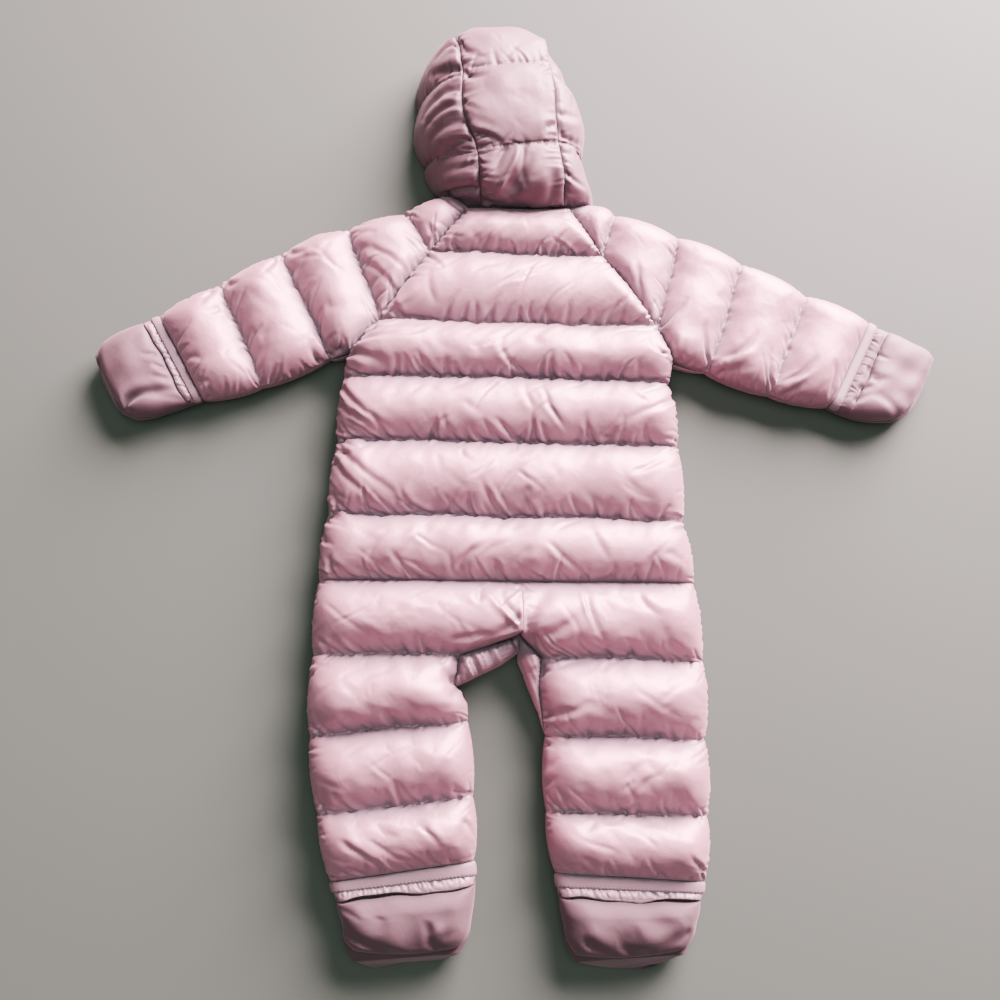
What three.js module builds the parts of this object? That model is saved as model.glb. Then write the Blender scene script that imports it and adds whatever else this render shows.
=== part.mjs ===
// A baby's quilted down snowsuit, laid out flat on its front with its back upwards.
//
// Millimetres, +Z up. X runs across the chest, Y from the feet to the hood, and the ground is z = 0.
// The suit is two layers of padded panels: the back panels lie on the front panels, and the two
// layers meet along the side seams at MID_PLANE. Only the hood stays hollow, face down on its rim.
// Left and right are the wearer's, which are also the viewer's, because the back is upwards.
import * as THREE from 'three';

// Driving dimensions
const MID_PLANE = 16;        // height of the plane in which the two layers lie on each other
const SEAM_GAP = 0.3;        // space between two pieces that are sewn together
const SEAM_WALL = 2;         // cloth and seam allowance where a padded panel is pinched flat
const VALLEY = 27;           // height of a quilting line on the back
const GROOVE = 4.5;          // how far a quilting line on the front lifts off the ground
const SIDE_BULGE = 3;        // how far a baffle swells past the side seam
const UNEVENNESS = 1.6;      // how far the down has shifted the crest of a baffle
const HALF_GAP = SEAM_GAP / 2;
const BACK_UNDER = MID_PLANE + HALF_GAP;
const FRONT_OVER = MID_PLANE - HALF_GAP;
const BACK_EDGE = BACK_UNDER + SEAM_WALL;
const FRONT_EDGE = FRONT_OVER - SEAM_WALL;

// The footprint's centre, measured from the point where the back seam meets the crotch.
const FOOTPRINT_CENTRE = new THREE.Vector3(9.58, 146.75, 0);

const table = (columns, rows) =>
  rows.map((row) => Object.fromEntries(columns.map((name, i) => [name, row[i]])));
const mix = (a, b, t) => a + (b - a) * t;
const clamp01 = (t) => Math.min(1, Math.max(0, t));
const lift = (x, y, z) => new THREE.Vector3(x, y, z);

// Sections of the panels. Each row is one section, and a whole number in the first column is a
// quilting line. free is 1 on an open side, which rounds down to the side seam, and 0 where the
// next panel is sewn on. rise is the height of the baffle over its quilting lines.
const TORSO = table(['line', 'leftX', 'leftY', 'rightX', 'rightY', 'free', 'rise'], [
  [0.0, -45.0, 378.0, 45.0, 381.5, 0.0, 14],
  [1.0, -78.0, 334.5, 75.5, 336.0, 0.0, 18],
  [2.0, -121.0, 268.5, 123.0, 271.5, 0.0, 20],
  [2.5, -143.5, 241.0, 135.5, 242.0, 0.0, 20],
  [3.0, -149.0, 217.0, 133.0, 220.5, 1.0, 20],
  [4.0, -152.0, 160.0, 139.5, 163.0, 1.0, 21],
  [5.0, -157.0, 97.0, 141.5, 96.5, 1.0, 21],
  [6.0, -162.5, 41.0, 149.5, 44.0, 1.0, 20],
]);

// Legs. inner is the inseam of the back panel, and front that of the front panel, which is cut
// deeper round the crotch and shows beyond the back one there.
const LEG_COLUMNS = ['line', 'outerX', 'outerY', 'innerX', 'innerY', 'free', 'frontX', 'frontY', 'rise'];
const LEGS = {
  left: table(LEG_COLUMNS, [
    [0.0, -162.5, 40.7, 2.0, 42.3, 0.0, 2.0, 42.3, 20],
    [0.7, -164.0, -1.0, 2.0, -1.0, 0.0, 1.5, -15.0, 19],
    [0.85, -164.5, -11.0, -24.0, -10.0, 0.7, -15.0, -26.0, 19],
    [1.0, -164.5, -20.0, -47.0, -18.0, 1.0, -33.0, -35.5, 19],
    [1.35, -165.0, -43.0, -54.0, -41.0, 1.0, -52.5, -43.5, 20],
    [1.65, -165.0, -63.0, -43.0, -57.0, 1.0, -43.0, -57.5, 20],
    [2.0, -164.5, -83.0, -40.0, -71.0, 1.0, -40.0, -71.0, 20],
    [3.0, -156.0, -143.0, -35.0, -129.5, 1.0, -35.0, -129.5, 18],
    [4.0, -144.0, -192.5, -33.5, -177.5, 1.0, -33.5, -177.5, 15],
  ]),
  right: table(LEG_COLUMNS, [
    [0.0, 149.5, 43.7, 2.3, 42.3, 0.0, 2.3, 42.3, 20],
    [0.7, 152.5, -2.0, 2.3, -1.0, 0.0, 2.8, -13.0, 19],
    [0.85, 153.5, -12.0, 13.0, -10.0, 0.7, 5.0, -22.0, 19],
    [1.0, 154.5, -21.0, 21.0, -19.0, 1.0, 9.0, -33.0, 19],
    [1.35, 155.0, -43.0, 21.5, -42.0, 1.0, 16.0, -50.0, 20],
    [1.65, 154.5, -63.0, 24.0, -61.0, 1.0, 21.0, -64.0, 20],
    [2.0, 154.0, -83.5, 24.0, -81.5, 1.0, 24.0, -81.5, 20],
    [3.0, 154.0, -144.0, 24.5, -140.5, 1.0, 24.5, -140.5, 18],
    [4.0, 149.5, -193.5, 31.0, -186.5, 1.0, 31.0, -186.5, 15],
  ]),
};

// Sleeves. top is the fold over the shoulder and low the underarm, which from line 0 to 2.5 is the
// raglan seam and follows the torso's own edge.
const SLEEVE_COLUMNS = ['line', 'topX', 'topY', 'lowX', 'lowY', 'free', 'rise'];
const SLEEVES = {
  left: table(SLEEVE_COLUMNS, [
    [0.0, -61.5, 392.0, null, null, 0.0, 9],
    [1.0, -102.0, 371.0, null, null, 0.0, 14],
    [2.0, -150.0, 354.0, null, null, 0.0, 18],
    [2.5, -179.0, 343.0, null, null, 0.0, 19],
    [3.0, -208.0, 327.0, -162.0, 234.5, 1.0, 19],
    [4.0, -258.0, 296.0, -218.0, 207.0, 1.0, 18],
    [5.0, -307.0, 266.0, -267.0, 194.0, 1.0, 14],
  ]),
  right: table(SLEEVE_COLUMNS, [
    [0.0, 69.0, 388.0, null, null, 0.0, 9],
    [1.0, 88.0, 380.0, null, null, 0.0, 14],
    [2.0, 145.0, 361.0, null, null, 0.0, 18],
    [2.5, 174.0, 350.0, null, null, 0.0, 19],
    [3.0, 204.0, 337.0, 168.0, 234.5, 1.0, 19],
    [4.0, 262.5, 309.0, 225.0, 215.0, 1.0, 18],
    [5.0, 319.0, 286.0, 278.0, 206.0, 1.0, 14],
  ]),
};

// Pockets that fold over the hand and foot ends. line runs from the mouth, 0, to the tip, 1. top is
// the height of the upper cloth, and reach how far the lower cloth stands out beyond the upper.
const POCKET_COLUMNS = ['line', 'startX', 'startY', 'endX', 'endY', 'top', 'reach'];
const MITTS = {
  left: table(POCKET_COLUMNS, [
    [0.0, -307.3, 265.7, -267.3, 193.5, 24, 0],
    [0.12, -313.0, 263.0, -272.5, 191.5, 26, 0],
    [0.28, -321.0, 259.5, -280.0, 188.5, 29, 0],
    [0.5, -332.5, 254.5, -294.5, 182.5, 32, 0.5],
    [0.72, -344.5, 247.5, -309.0, 177.5, 31, 1.5],
    [0.88, -352.5, 240.0, -320.0, 177.0, 27, 2.5],
    [1.0, -356.0, 231.0, -330.0, 181.5, 19, 3.5],
  ]),
  right: table(POCKET_COLUMNS, [
    [0.0, 319.3, 285.7, 278.3, 205.5, 24, 0],
    [0.12, 325.5, 282.5, 284.0, 203.0, 26, 0],
    [0.28, 334.0, 279.0, 292.5, 199.5, 29, 0],
    [0.5, 347.5, 274.0, 306.5, 195.5, 32, 0.5],
    [0.72, 360.5, 267.5, 323.5, 194.5, 31, 1.5],
    [0.88, 369.5, 261.0, 337.5, 198.5, 27, 2.5],
    [1.0, 375.0, 252.5, 349.0, 206.5, 19, 3.5],
  ]),
};
const BOOTIES = {
  left: table(POCKET_COLUMNS, [
    [0.0, -144.0, -192.9, -33.5, -177.9, 26, 0],
    [0.14, -141.5, -201.0, -32.5, -189.0, 26, 0],
    [0.24, -139.5, -206.5, -32.0, -196.0, 25, 0],
    [0.34, -138.0, -213.0, -32.5, -204.0, 35, 0],
    [0.6, -134.0, -224.5, -34.5, -218.5, 38, 2],
    [0.84, -128.0, -235.0, -40.0, -232.0, 33, 6],
    [1.0, -117.0, -242.0, -50.0, -240.0, 19, 9],
  ]),
  right: table(POCKET_COLUMNS, [
    [0.0, 31.0, -186.9, 149.5, -193.9, 26, 0],
    [0.14, 32.5, -198.0, 148.0, -203.0, 26, 0],
    [0.24, 33.5, -205.0, 146.5, -208.5, 25, 0],
    [0.34, 34.5, -212.5, 145.5, -214.5, 35, 0],
    [0.6, 37.5, -226.0, 142.5, -224.5, 38, 2],
    [0.84, 43.0, -239.0, 136.5, -234.5, 33, 6],
    [1.0, 55.0, -247.0, 127.0, -243.0, 19, 9],
  ]),
};

// Hood. Each row is a rib: a hoop that stands on the ground at its two feet and passes over a top
// point. seamLeft and seamRight are where the centre panel's seams cross it, in degrees from the
// left foot. The last rib is the forehead rim, which lies on the ground.
const HOOD = table(
  ['line', 'leftX', 'leftY', 'rightX', 'rightY', 'topX', 'topY', 'topZ', 'seamLeft', 'seamRight'], [
    [0.0, -61.8, 393.4, 69.4, 389.6, -1.0, 376.0, 24, 60, 127],
    [0.15, -70.0, 399.0, 72.0, 395.0, -1.0, 375.5, 40, 61, 127],
    [0.4, -83.0, 404.0, 70.0, 401.0, -2.0, 384.0, 56, 62, 126],
    [1.0, -92.5, 434.0, 61.0, 432.0, -5.0, 414.0, 72, 61, 124],
    [1.5, -97.0, 462.0, 57.0, 460.0, -8.0, 452.0, 78, 54, 121],
    [2.0, -96.0, 494.0, 53.0, 487.0, -10.0, 496.0, 76, 53, 122],
    [2.5, -89.0, 520.0, 40.0, 517.0, -14.0, 538.0, 59, 47, 128],
    [2.8, -79.0, 536.0, 27.0, 534.0, -19.0, 556.0, 33, 38, 140],
    [3.0, -69.0, 544.0, 18.0, 543.0, -22.0, 557.0, 0, 34, 144],
  ]);
// The hood is padded: its inner cloth and its pinched seams are its own shape, drawn in towards a
// middle point on the ground by these shares.
const HOOD_MIDDLE = new THREE.Vector3(-17, 466, 0);
const HOOD_INSIDE = 0.82;
const HOOD_PINCH = 0.09;
const HOOD_DIP_WIDTH = 14;   // distance from a seam over which the padding fills out
const HOOD_FIRST_PUFF = 0.4; // line up to which the lowest baffle fills out from the neck seam
const HOOP_POWER = 2.5;      // 2 is a round hoop, and more is squarer

// Zip, in the middle of the front
const ZIP = { top: 400, bottom: 62, halfWidth: 5.5, tapeUnder: 6.4, tapeOver: 8.0, lastLine: 5.7 };
const CHIN_HEIGHT = 22;      // how far the front stands up over the neck seam, under the chin
const CHIN_HALF_WIDTH = 28;

// Materials
const NYLON = new THREE.MeshStandardMaterial({ color: 0xc9a5ae, roughness: 0.42, metalness: 0 });
const SHELL = new THREE.MeshStandardMaterial({ color: 0xbf9aa4, roughness: 0.5, metalness: 0 });
const ELASTIC = new THREE.MeshStandardMaterial({ color: 0xc7a2ac, roughness: 0.75, metalness: 0 });
const ZIP_TAPE = new THREE.MeshStandardMaterial({ color: 0xb48f99, roughness: 0.8, metalness: 0 });
const ZIP_METAL = new THREE.MeshStandardMaterial({ color: 0xb9b3b4, roughness: 0.35, metalness: 0.9 });

const suit = new THREE.Group();

function addPiece(name, geometry, material) {
  const mesh = new THREE.Mesh(geometry, material);
  mesh.name = name;
  suit.add(mesh);
}

// A closed solid between two grids of points with the same rows and columns.
function slab(over, under) {
  const rows = over.length;
  const columns = over[0].length;
  const points = [...over.flat(), ...under.flat()];
  const upper = (i, j) => i * columns + j;
  const lower = (i, j) => rows * columns + upper(i, j);
  const faces = [];
  const quad = (a, b, c, d) => faces.push(a, b, c, a, c, d);
  for (let i = 0; i < rows - 1; i += 1) {
    for (let j = 0; j < columns - 1; j += 1) {
      quad(upper(i, j), upper(i, j + 1), upper(i + 1, j + 1), upper(i + 1, j));
      quad(lower(i, j), lower(i + 1, j), lower(i + 1, j + 1), lower(i, j + 1));
    }
    const last = columns - 1;
    quad(upper(i, 0), upper(i + 1, 0), lower(i + 1, 0), lower(i, 0));
    quad(upper(i, last), lower(i, last), lower(i + 1, last), upper(i + 1, last));
  }
  for (let j = 0; j < columns - 1; j += 1) {
    const end = rows - 1;
    quad(upper(0, j), lower(0, j), lower(0, j + 1), upper(0, j + 1));
    quad(upper(end, j), upper(end, j + 1), lower(end, j + 1), lower(end, j));
  }
  let volume = 0;
  for (let f = 0; f < faces.length; f += 3) {
    const [a, b, c] = [points[faces[f]], points[faces[f + 1]], points[faces[f + 2]]];
    volume += a.dot(b.clone().cross(c));
  }
  if (volume < 0) faces.reverse();
  const geometry = new THREE.BufferGeometry().setFromPoints(points);
  geometry.setIndex(faces);
  geometry.computeVertexNormals();
  return geometry;
}

// A section of a table at any line, straight between its rows.
function sectionAt(rows, line) {
  const next = Math.max(1, rows.findIndex((row) => row.line >= line - 1e-9));
  const [a, b] = [rows[next - 1], rows[next]];
  const t = clamp01((line - a.line) / (b.line - a.line));
  return Object.fromEntries(Object.keys(a).map((key) => [key, mix(a[key], b[key], t)]));
}

// The lines at which a panel has sections: the table's own, and a few across each baffle.
function sampleLines(rows, fractions) {
  const first = rows[0].line;
  const last = rows[rows.length - 1].line;
  const lines = rows.map((row) => row.line);
  for (let baffle = Math.floor(first); baffle < last; baffle += 1) {
    for (const t of fractions) {
      const line = baffle + t;
      if (line > first && line < last && lines.every((l) => Math.abs(l - line) > 0.04)) lines.push(line);
    }
  }
  return lines.sort((a, b) => a - b);
}

// Fractions of a panel's width, close together near the edges, where it rounds down.
function sampleWidth(width, margins, step) {
  const near = margins.map((d) => d / width);
  const inner = near[near.length - 1];
  const middle = Math.max(1, Math.round((width - 2 * margins[margins.length - 1]) / step));
  const across = Array.from({ length: middle - 1 }, (_, i) => mix(inner, 1 - inner, (i + 1) / middle));
  return [...near, ...across, ...near.map((u) => 1 - u).reverse()];
}

// How full a baffle is between its quilting lines, from 0 on a line to 1 in the middle.
const PUFF_ROUNDNESS = 0.7;
const puff = (line) => Math.sin(Math.PI * (line - Math.floor(line))) ** PUFF_ROUNDNESS;
// How far a panel has risen at a distance from its edge: a quarter circle of that radius.
const quarter = (distance, radius) => Math.sqrt(1 - (1 - clamp01(distance / radius)) ** 2);
const EDGE_ROUNDING = 1.05;  // radius of an edge, as a share of the height that it rounds through
// The unevenness of the down, as slow waves that differ from baffle to baffle.
const drift = (x, line) => Math.sin(x / 17 + 5.1 * Math.floor(line)) * 0.6
  + Math.sin(x / 9.3 + 2.3 * Math.floor(line)) * 0.4;

// The two ends of a section, with the swell of the baffle at each open side.
function ends(section, line) {
  const a = lift(section.startX, section.startY, 0);
  const b = lift(section.endX, section.endY, 0);
  const out = b.clone().sub(a).normalize().multiplyScalar(SIDE_BULGE * puff(line));
  a.addScaledVector(out, -section.startFree);
  b.addScaledVector(out, section.endFree);
  return [a, b];
}

// A back panel: the quilted outer cloth over a plain inner one on the mid plane.
function backPanel(rows, { fractions, margins, step }) {
  const over = [];
  const under = [];
  const widest = Math.max(...rows.map((r) => Math.hypot(r.endX - r.startX, r.endY - r.startY)));
  const widths = sampleWidth(widest, margins, step);
  for (const line of sampleLines(rows, fractions)) {
    const section = sectionAt(rows, line);
    const [a, b] = ends(section, line);
    const width = a.distanceTo(b);
    const full = puff(line);
    const startZ = mix(section.base, BACK_EDGE, section.startFree);
    const endZ = mix(section.base, BACK_EDGE, section.endFree);
    over.push(widths.map((u) => {
      const p = a.clone().lerp(b, u);
      const crest = section.base + full * (section.rise + UNEVENNESS * drift(p.x, line));
      const atStart = 1 - quarter(u * width, (crest - startZ) * EDGE_ROUNDING + SEAM_WALL);
      const atEnd = 1 - quarter((1 - u) * width, (crest - endZ) * EDGE_ROUNDING + SEAM_WALL);
      p.z = crest - (crest - startZ) * atStart - (crest - endZ) * atEnd;
      return p;
    }));
    under.push(widths.map((u) => a.clone().lerp(b, u).setZ(BACK_UNDER)));
  }
  return slab(over, under);
}

// A front panel: its outer cloth rests on the ground and lifts off it at the quilting lines.
function frontPanel(rows, { fractions, margins, step }) {
  const over = [];
  const under = [];
  const widest = Math.max(...rows.map((r) => Math.hypot(r.endX - r.startX, r.endY - r.startY)));
  const widths = sampleWidth(widest, margins, step);
  for (const line of sampleLines(rows, fractions)) {
    const section = sectionAt(rows, line);
    const [a, b] = ends(section, line);
    const width = a.distanceTo(b);
    const low = GROOVE * (1 - clamp01(puff(line) * 1.5));
    const startZ = mix(GROOVE, FRONT_EDGE, section.startFree);
    const endZ = mix(GROOVE, FRONT_EDGE, section.endFree);
    under.push(widths.map((u) => {
      const atStart = 1 - quarter(u * width, startZ * EDGE_ROUNDING);
      const atEnd = 1 - quarter((1 - u) * width, endZ * EDGE_ROUNDING);
      return a.clone().lerp(b, u).setZ(low + (startZ - low) * atStart + (endZ - low) * atEnd);
    }));
    over.push(widths.map((u) => a.clone().lerp(b, u).setZ(FRONT_OVER)));
  }
  return slab(over, under);
}

// Rows for backPanel and frontPanel, from the tables of each garment piece.
const asSection = (row, startX, startY, startFree, endX, endY, endFree) => ({
  line: row.line, startX, startY, startFree, endX, endY, endFree, rise: row.rise, base: VALLEY,
});
const torsoRows = TORSO.map((r) =>
  asSection(r, r.leftX, r.leftY, r.free, r.rightX, r.rightY, r.free));

function legRows(side, front) {
  return LEGS[side].map((r) => {
    const inset = (side === 'left' ? -HALF_GAP : HALF_GAP) * (r.free < 1 ? 1 : 0);
    const x = (front ? r.frontX : r.innerX) + inset;
    const y = front ? r.frontY : r.innerY;
    return side === 'left'
      ? asSection(r, r.outerX, r.outerY, 1, x, y, r.free)
      : asSection(r, x, y, r.free, r.outerX, r.outerY, 1);
  });
}

function sleeveRows(side) {
  const sign = side === 'left' ? -1 : 1;
  return SLEEVES[side].map((r) => {
    const edge = sectionAt(TORSO, r.line);
    const sewn = r.lowX === null;
    const lowX = sewn ? edge[side + 'X'] + sign * SEAM_GAP : r.lowX;
    const lowY = sewn ? edge[side + 'Y'] + SEAM_GAP : r.lowY;
    return asSection(r, r.topX, r.topY, 1, lowX, lowY, r.free);
  });
}

const BACK_GRID = { fractions: [0.09, 0.27, 0.5, 0.73, 0.91], margins: [0, 3, 9, 18, 30], step: 34 };
const FRONT_GRID = { fractions: [0.1, 0.27, 0.73, 0.9], margins: [0, 5, 15], step: 90 };

function addBody() {
  addPiece('back_body', backPanel(torsoRows, BACK_GRID), NYLON);
  for (const side of ['left', 'right']) {
    const legBelow = (rows) => rows.map((r) => ({ ...r, startY: r.startY - (r.line ? 0 : SEAM_GAP),
      endY: r.endY - (r.line ? 0 : SEAM_GAP) }));
    addPiece(`leg_${side}_back`, backPanel(legBelow(legRows(side, false)), BACK_GRID), NYLON);
    addPiece(`leg_${side}_front`, frontPanel(legBelow(legRows(side, true)), FRONT_GRID), NYLON);
    addPiece(`sleeve_${side}_back`, backPanel(sleeveRows(side), BACK_GRID), NYLON);
    addPiece(`sleeve_${side}_front`, frontPanel(sleeveRows(side), FRONT_GRID), NYLON);
  }
}

// The front of the body: two halves that meet at the zip, with a chin guard over the neck seam.
function addFrontBody() {
  for (const side of ['left', 'right']) {
    const sign = side === 'left' ? -1 : 1;
    const chin = [0.7, 0.3].map((above) => {
      const neckY = (TORSO[0].leftY + TORSO[0].rightY) / 2;
      return { line: -above, free: 0.4, rise: 0, outerX: sign * CHIN_HALF_WIDTH,
        outerY: neckY + CHIN_HEIGHT * (above / 0.7) };
    });
    const body = [...TORSO.slice(0, -1), sectionAt(TORSO, ZIP.lastLine), TORSO[TORSO.length - 1]]
      .map((r) => ({ ...r, outerX: r[side + 'X'], outerY: r[side + 'Y'] }));
    const rows = [...chin, ...body].map((r) => {
      const x = sign * (r.line > ZIP.lastLine ? HALF_GAP : ZIP.halfWidth + SEAM_GAP);
      const y = r.line < 0 ? r.outerY : mix(r.leftY, r.rightY, (x - r.leftX) / (r.rightX - r.leftX));
      return side === 'left'
        ? asSection(r, r.outerX, r.outerY, r.free, x, y, 0)
        : asSection(r, x, y, 0, r.outerX, r.outerY, r.free);
    });
    addPiece(`front_${side}`, frontPanel(rows, FRONT_GRID), NYLON);
  }
}

// Mitts and booties: an upper cloth over the end of the sleeve or leg, and a lower one under it.
const POCKET_ACROSS = [0, 0.03, 0.1, 0.2, 0.35, 0.5, 0.65, 0.8, 0.9, 0.97, 1];
function pocketTop(row, p, fromStart, fromEnd) {
  const radius = (row.top - BACK_EDGE) * EDGE_ROUNDING + SEAM_WALL;
  const drop = (1 - quarter(fromStart, radius)) + (1 - quarter(fromEnd, radius));
  return p.setZ(mix(row.top, BACK_EDGE, drop));
}
function pocket(rows, kind) {
  const middle = (r) => lift((r.startX + r.endX) / 2, (r.startY + r.endY) / 2, 0);
  const outward = middle(rows[rows.length - 1]).sub(middle(rows[0])).normalize();
  const grid = (height) => rows.map((r) => {
    const a = lift(r.startX, r.startY, 0);
    const b = lift(r.endX, r.endY, 0);
    const width = a.distanceTo(b);
    return POCKET_ACROSS.map((u) => height(r, a.clone().lerp(b, u), u * width, (1 - u) * width));
  });
  // The tip of a pocket is rounded in plan: the middle of a row stands further out than its ends.
  const bow = (r, p, da, db) => {
    const tip = clamp01((r.line - 0.5) / 0.5);
    const width = da + db;
    return p.addScaledVector(outward, tip * kind.bow * (4 * da * db) / (width * width));
  };
  if (kind.layer === 'upper') {
    return slab(
      grid((r, p, da, db) => pocketTop(r, bow(r, p, da, db), da, db)),
      grid((r, p, da, db) => bow(r, p, da, db).setZ(BACK_UNDER)));
  }
  const out = (r, p, da, db) => bow(r, p, da, db).addScaledVector(outward, r.reach);
  return slab(
    grid((r, p, da, db) => out(r, p, da, db).setZ(FRONT_OVER)),
    grid((r, p, da, db) => {
      const drop = (1 - quarter(da, FRONT_EDGE)) + (1 - quarter(db, FRONT_EDGE));
      return out(r, p, da, db).setZ(mix(r.line === 1 ? FRONT_EDGE / 2 : 0, FRONT_EDGE, drop));
    }));
}

// The elastic binding round a pocket's mouth: a strip that lies on the upper cloth, side to side.
const BINDING = { thickness: 1.6, from: 0, to: 0.13 };
function binding(rows) {
  const strip = (height) => [BINDING.from, BINDING.to].map((line) => {
    const r = sectionAt(rows, line);
    const a = lift(r.startX, r.startY, 0);
    const b = lift(r.endX, r.endY, 0);
    const across = b.clone().sub(a).normalize();
    const cloth = POCKET_ACROSS.map((u) => pocketTop(r, a.clone().lerp(b, u), u * a.distanceTo(b),
      (1 - u) * a.distanceTo(b)));
    return cloth.map((p, i) => {
      const along = cloth[Math.min(i + 1, cloth.length - 1)].clone().sub(cloth[Math.max(i - 1, 0)]);
      const normal = across.clone().multiplyScalar(-along.z).setZ(along.dot(across)).normalize();
      return p.clone().addScaledVector(normal, height);
    });
  });
  return slab(strip(SEAM_GAP + 0.1 + BINDING.thickness), strip(SEAM_GAP + 0.1));
}

function addPockets() {
  for (const side of ['left', 'right']) {
    for (const [name, rows, bow] of [['mitt', MITTS[side], 4], ['bootie', BOOTIES[side], 6]]) {
      addPiece(`${name}_${side}_back`, pocket(rows, { layer: 'upper', bow }), SHELL);
      addPiece(`${name}_${side}_front`, pocket(rows, { layer: 'lower', bow }), SHELL);
      addPiece(`${name}_${side}_binding`, binding(rows), ELASTIC);
    }
  }
}

// The hood as a surface: line runs from the neck to the forehead, and turn from the left foot of a
// rib, 0, to its right foot, pi.
const hoodCurve = (x, y, z) => new THREE.CatmullRomCurve3(
  HOOD.map((r) => lift(r[x], r[y], z ? r[z] : 0)), false, 'centripetal');
const hoodFeet = { left: hoodCurve('leftX', 'leftY'), right: hoodCurve('rightX', 'rightY') };
const hoodTop = hoodCurve('topX', 'topY', 'topZ');
function hoodShare(line) {
  const next = Math.max(1, HOOD.findIndex((r) => r.line >= line - 1e-9));
  const [a, b] = [HOOD[next - 1], HOOD[next]];
  return (next - 1 + (line - a.line) / (b.line - a.line)) / (HOOD.length - 1);
}

// The edge of the body that the hood is sewn to, from shoulder to shoulder, and how high it is.
const NECK_SEAM = [
  [SLEEVES.left[1].topX, SLEEVES.left[1].topY], [SLEEVES.left[0].topX, SLEEVES.left[0].topY],
  [TORSO[0].leftX, TORSO[0].leftY], [TORSO[0].rightX, TORSO[0].rightY],
  [SLEEVES.right[0].topX, SLEEVES.right[0].topY], [SLEEVES.right[1].topX, SLEEVES.right[1].topY],
];
const NECK_CLEAR = 0.8;      // gap in Y, which leaves SEAM_GAP on the slanting sleeve tops
const NECK_HEIGHT = VALLEY + 4;
function neckY(x) {
  const next = Math.max(1, NECK_SEAM.findIndex((point) => point[0] >= x));
  const [a, b] = [NECK_SEAM[next - 1], NECK_SEAM[next]];
  return mix(a[1], b[1], clamp01((x - a[0]) / (b[0] - a[0])));
}

function hoodPoint(line, turn) {
  const share = clamp01(hoodShare(line));
  const left = hoodFeet.left.getPoint(share);
  const right = hoodFeet.right.getPoint(share);
  const rise = hoodTop.getPoint(share).sub(left.clone().lerp(right, 0.5));
  const height = (1 - Math.abs(Math.cos(turn)) ** HOOP_POWER) ** (1 / HOOP_POWER);
  const p = left.lerp(right, (1 - Math.cos(turn)) / 2).addScaledVector(rise, height);
  // The hood stands against the neck seam, and above it swells out over the body.
  p.y = Math.max(p.y, neckY(p.x) + NECK_CLEAR - Math.max(0, p.z - NECK_HEIGHT));
  return p;
}

// A panel of the hood between two seams, which edges gives in degrees round a section's hoop.
function hoodPanel(edges, columns) {
  const over = [];
  const under = [];
  const drawIn = (p, share) => p.clone().lerp(HOOD_MIDDLE, share);
  for (const line of sampleLines(HOOD, [0.08, 0.25, 0.5, 0.75, 0.92])) {
    const [from, to] = edges(sectionAt(HOOD, line), line);
    const start = hoodPoint(line, from);
    const end = hoodPoint(line, to);
    const pinch = HOOD_PINCH * clamp01(line / HOOD_FIRST_PUFF);
    const outer = Array.from({ length: columns + 1 }, (_, j) => {
      const p = hoodPoint(line, mix(from, to, j / columns));
      const full = puff(line) * quarter(Math.min(p.distanceTo(start), p.distanceTo(end)), HOOD_DIP_WIDTH);
      return drawIn(p, pinch * (1 - full));
    });
    over.push(outer);
    under.push(outer.map((_, j) => drawIn(hoodPoint(line, mix(from, to, j / columns)), 1 - HOOD_INSIDE)));
  }
  return slab(over, under);
}

// The turn at a seam of the hood, moved to one side of it by half a seam gap.
const HOOD_SEAM_GAP = 0.5;
function beside(line, degrees, side) {
  const turn = degrees * Math.PI / 180;
  const perRadian = hoodPoint(line, turn + 0.01).distanceTo(hoodPoint(line, turn - 0.01)) / 0.02;
  return turn + side * HOOD_SEAM_GAP / 2 / perRadian;
}

function addHood() {
  addPiece('hood_left', hoodPanel((s, line) => [0, beside(line, s.seamLeft, -1)], 7), NYLON);
  addPiece('hood_centre', hoodPanel((s, line) =>
    [beside(line, s.seamLeft, 1), beside(line, s.seamRight, -1)], 9), NYLON);
  addPiece('hood_right', hoodPanel((s, line) => [beside(line, s.seamRight, 1), Math.PI], 7), NYLON);
}

// The zip lies between the front halves, off the ground, with its slider up under the chin.
function addZip() {
  const length = ZIP.top - ZIP.bottom;
  const tape = new THREE.BoxGeometry(2 * ZIP.halfWidth, length, ZIP.tapeOver - ZIP.tapeUnder);
  tape.translate(0, (ZIP.top + ZIP.bottom) / 2, (ZIP.tapeOver + ZIP.tapeUnder) / 2);
  addPiece('zip_tape', tape, ZIP_TAPE);

  const slider = { width: 8, neck: 6, length: 12, thickness: 3.6, below: 14 };
  const outline = new THREE.Shape();
  outline.moveTo(-slider.neck / 2, 0);
  outline.lineTo(slider.neck / 2, 0);
  outline.lineTo(slider.width / 2, slider.length * 0.6);
  outline.quadraticCurveTo(slider.width / 2, slider.length, 0, slider.length);
  outline.quadraticCurveTo(-slider.width / 2, slider.length, -slider.width / 2, slider.length * 0.6);
  outline.closePath();
  const body = new THREE.ExtrudeGeometry(outline, {
    depth: slider.thickness, bevelEnabled: false, curveSegments: 6 });
  const sliderTop = ZIP.tapeUnder - SEAM_GAP;
  body.translate(0, ZIP.top - slider.below, sliderTop - slider.thickness);
  addPiece('zip_slider', body, ZIP_METAL);

  const pull = { width: 5, length: 26, thickness: 1 };
  const tab = new THREE.BoxGeometry(pull.width, pull.length, pull.thickness);
  tab.translate(0, ZIP.top - slider.below + 6 - pull.length / 2,
    sliderTop - slider.thickness - SEAM_GAP - pull.thickness / 2);
  addPiece('zip_pull', tab, ELASTIC);
}

addBody();
addFrontBody();
addPockets();
addHood();
addZip();
suit.position.copy(FOOTPRINT_CENTRE).negate();

export default suit;
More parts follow.
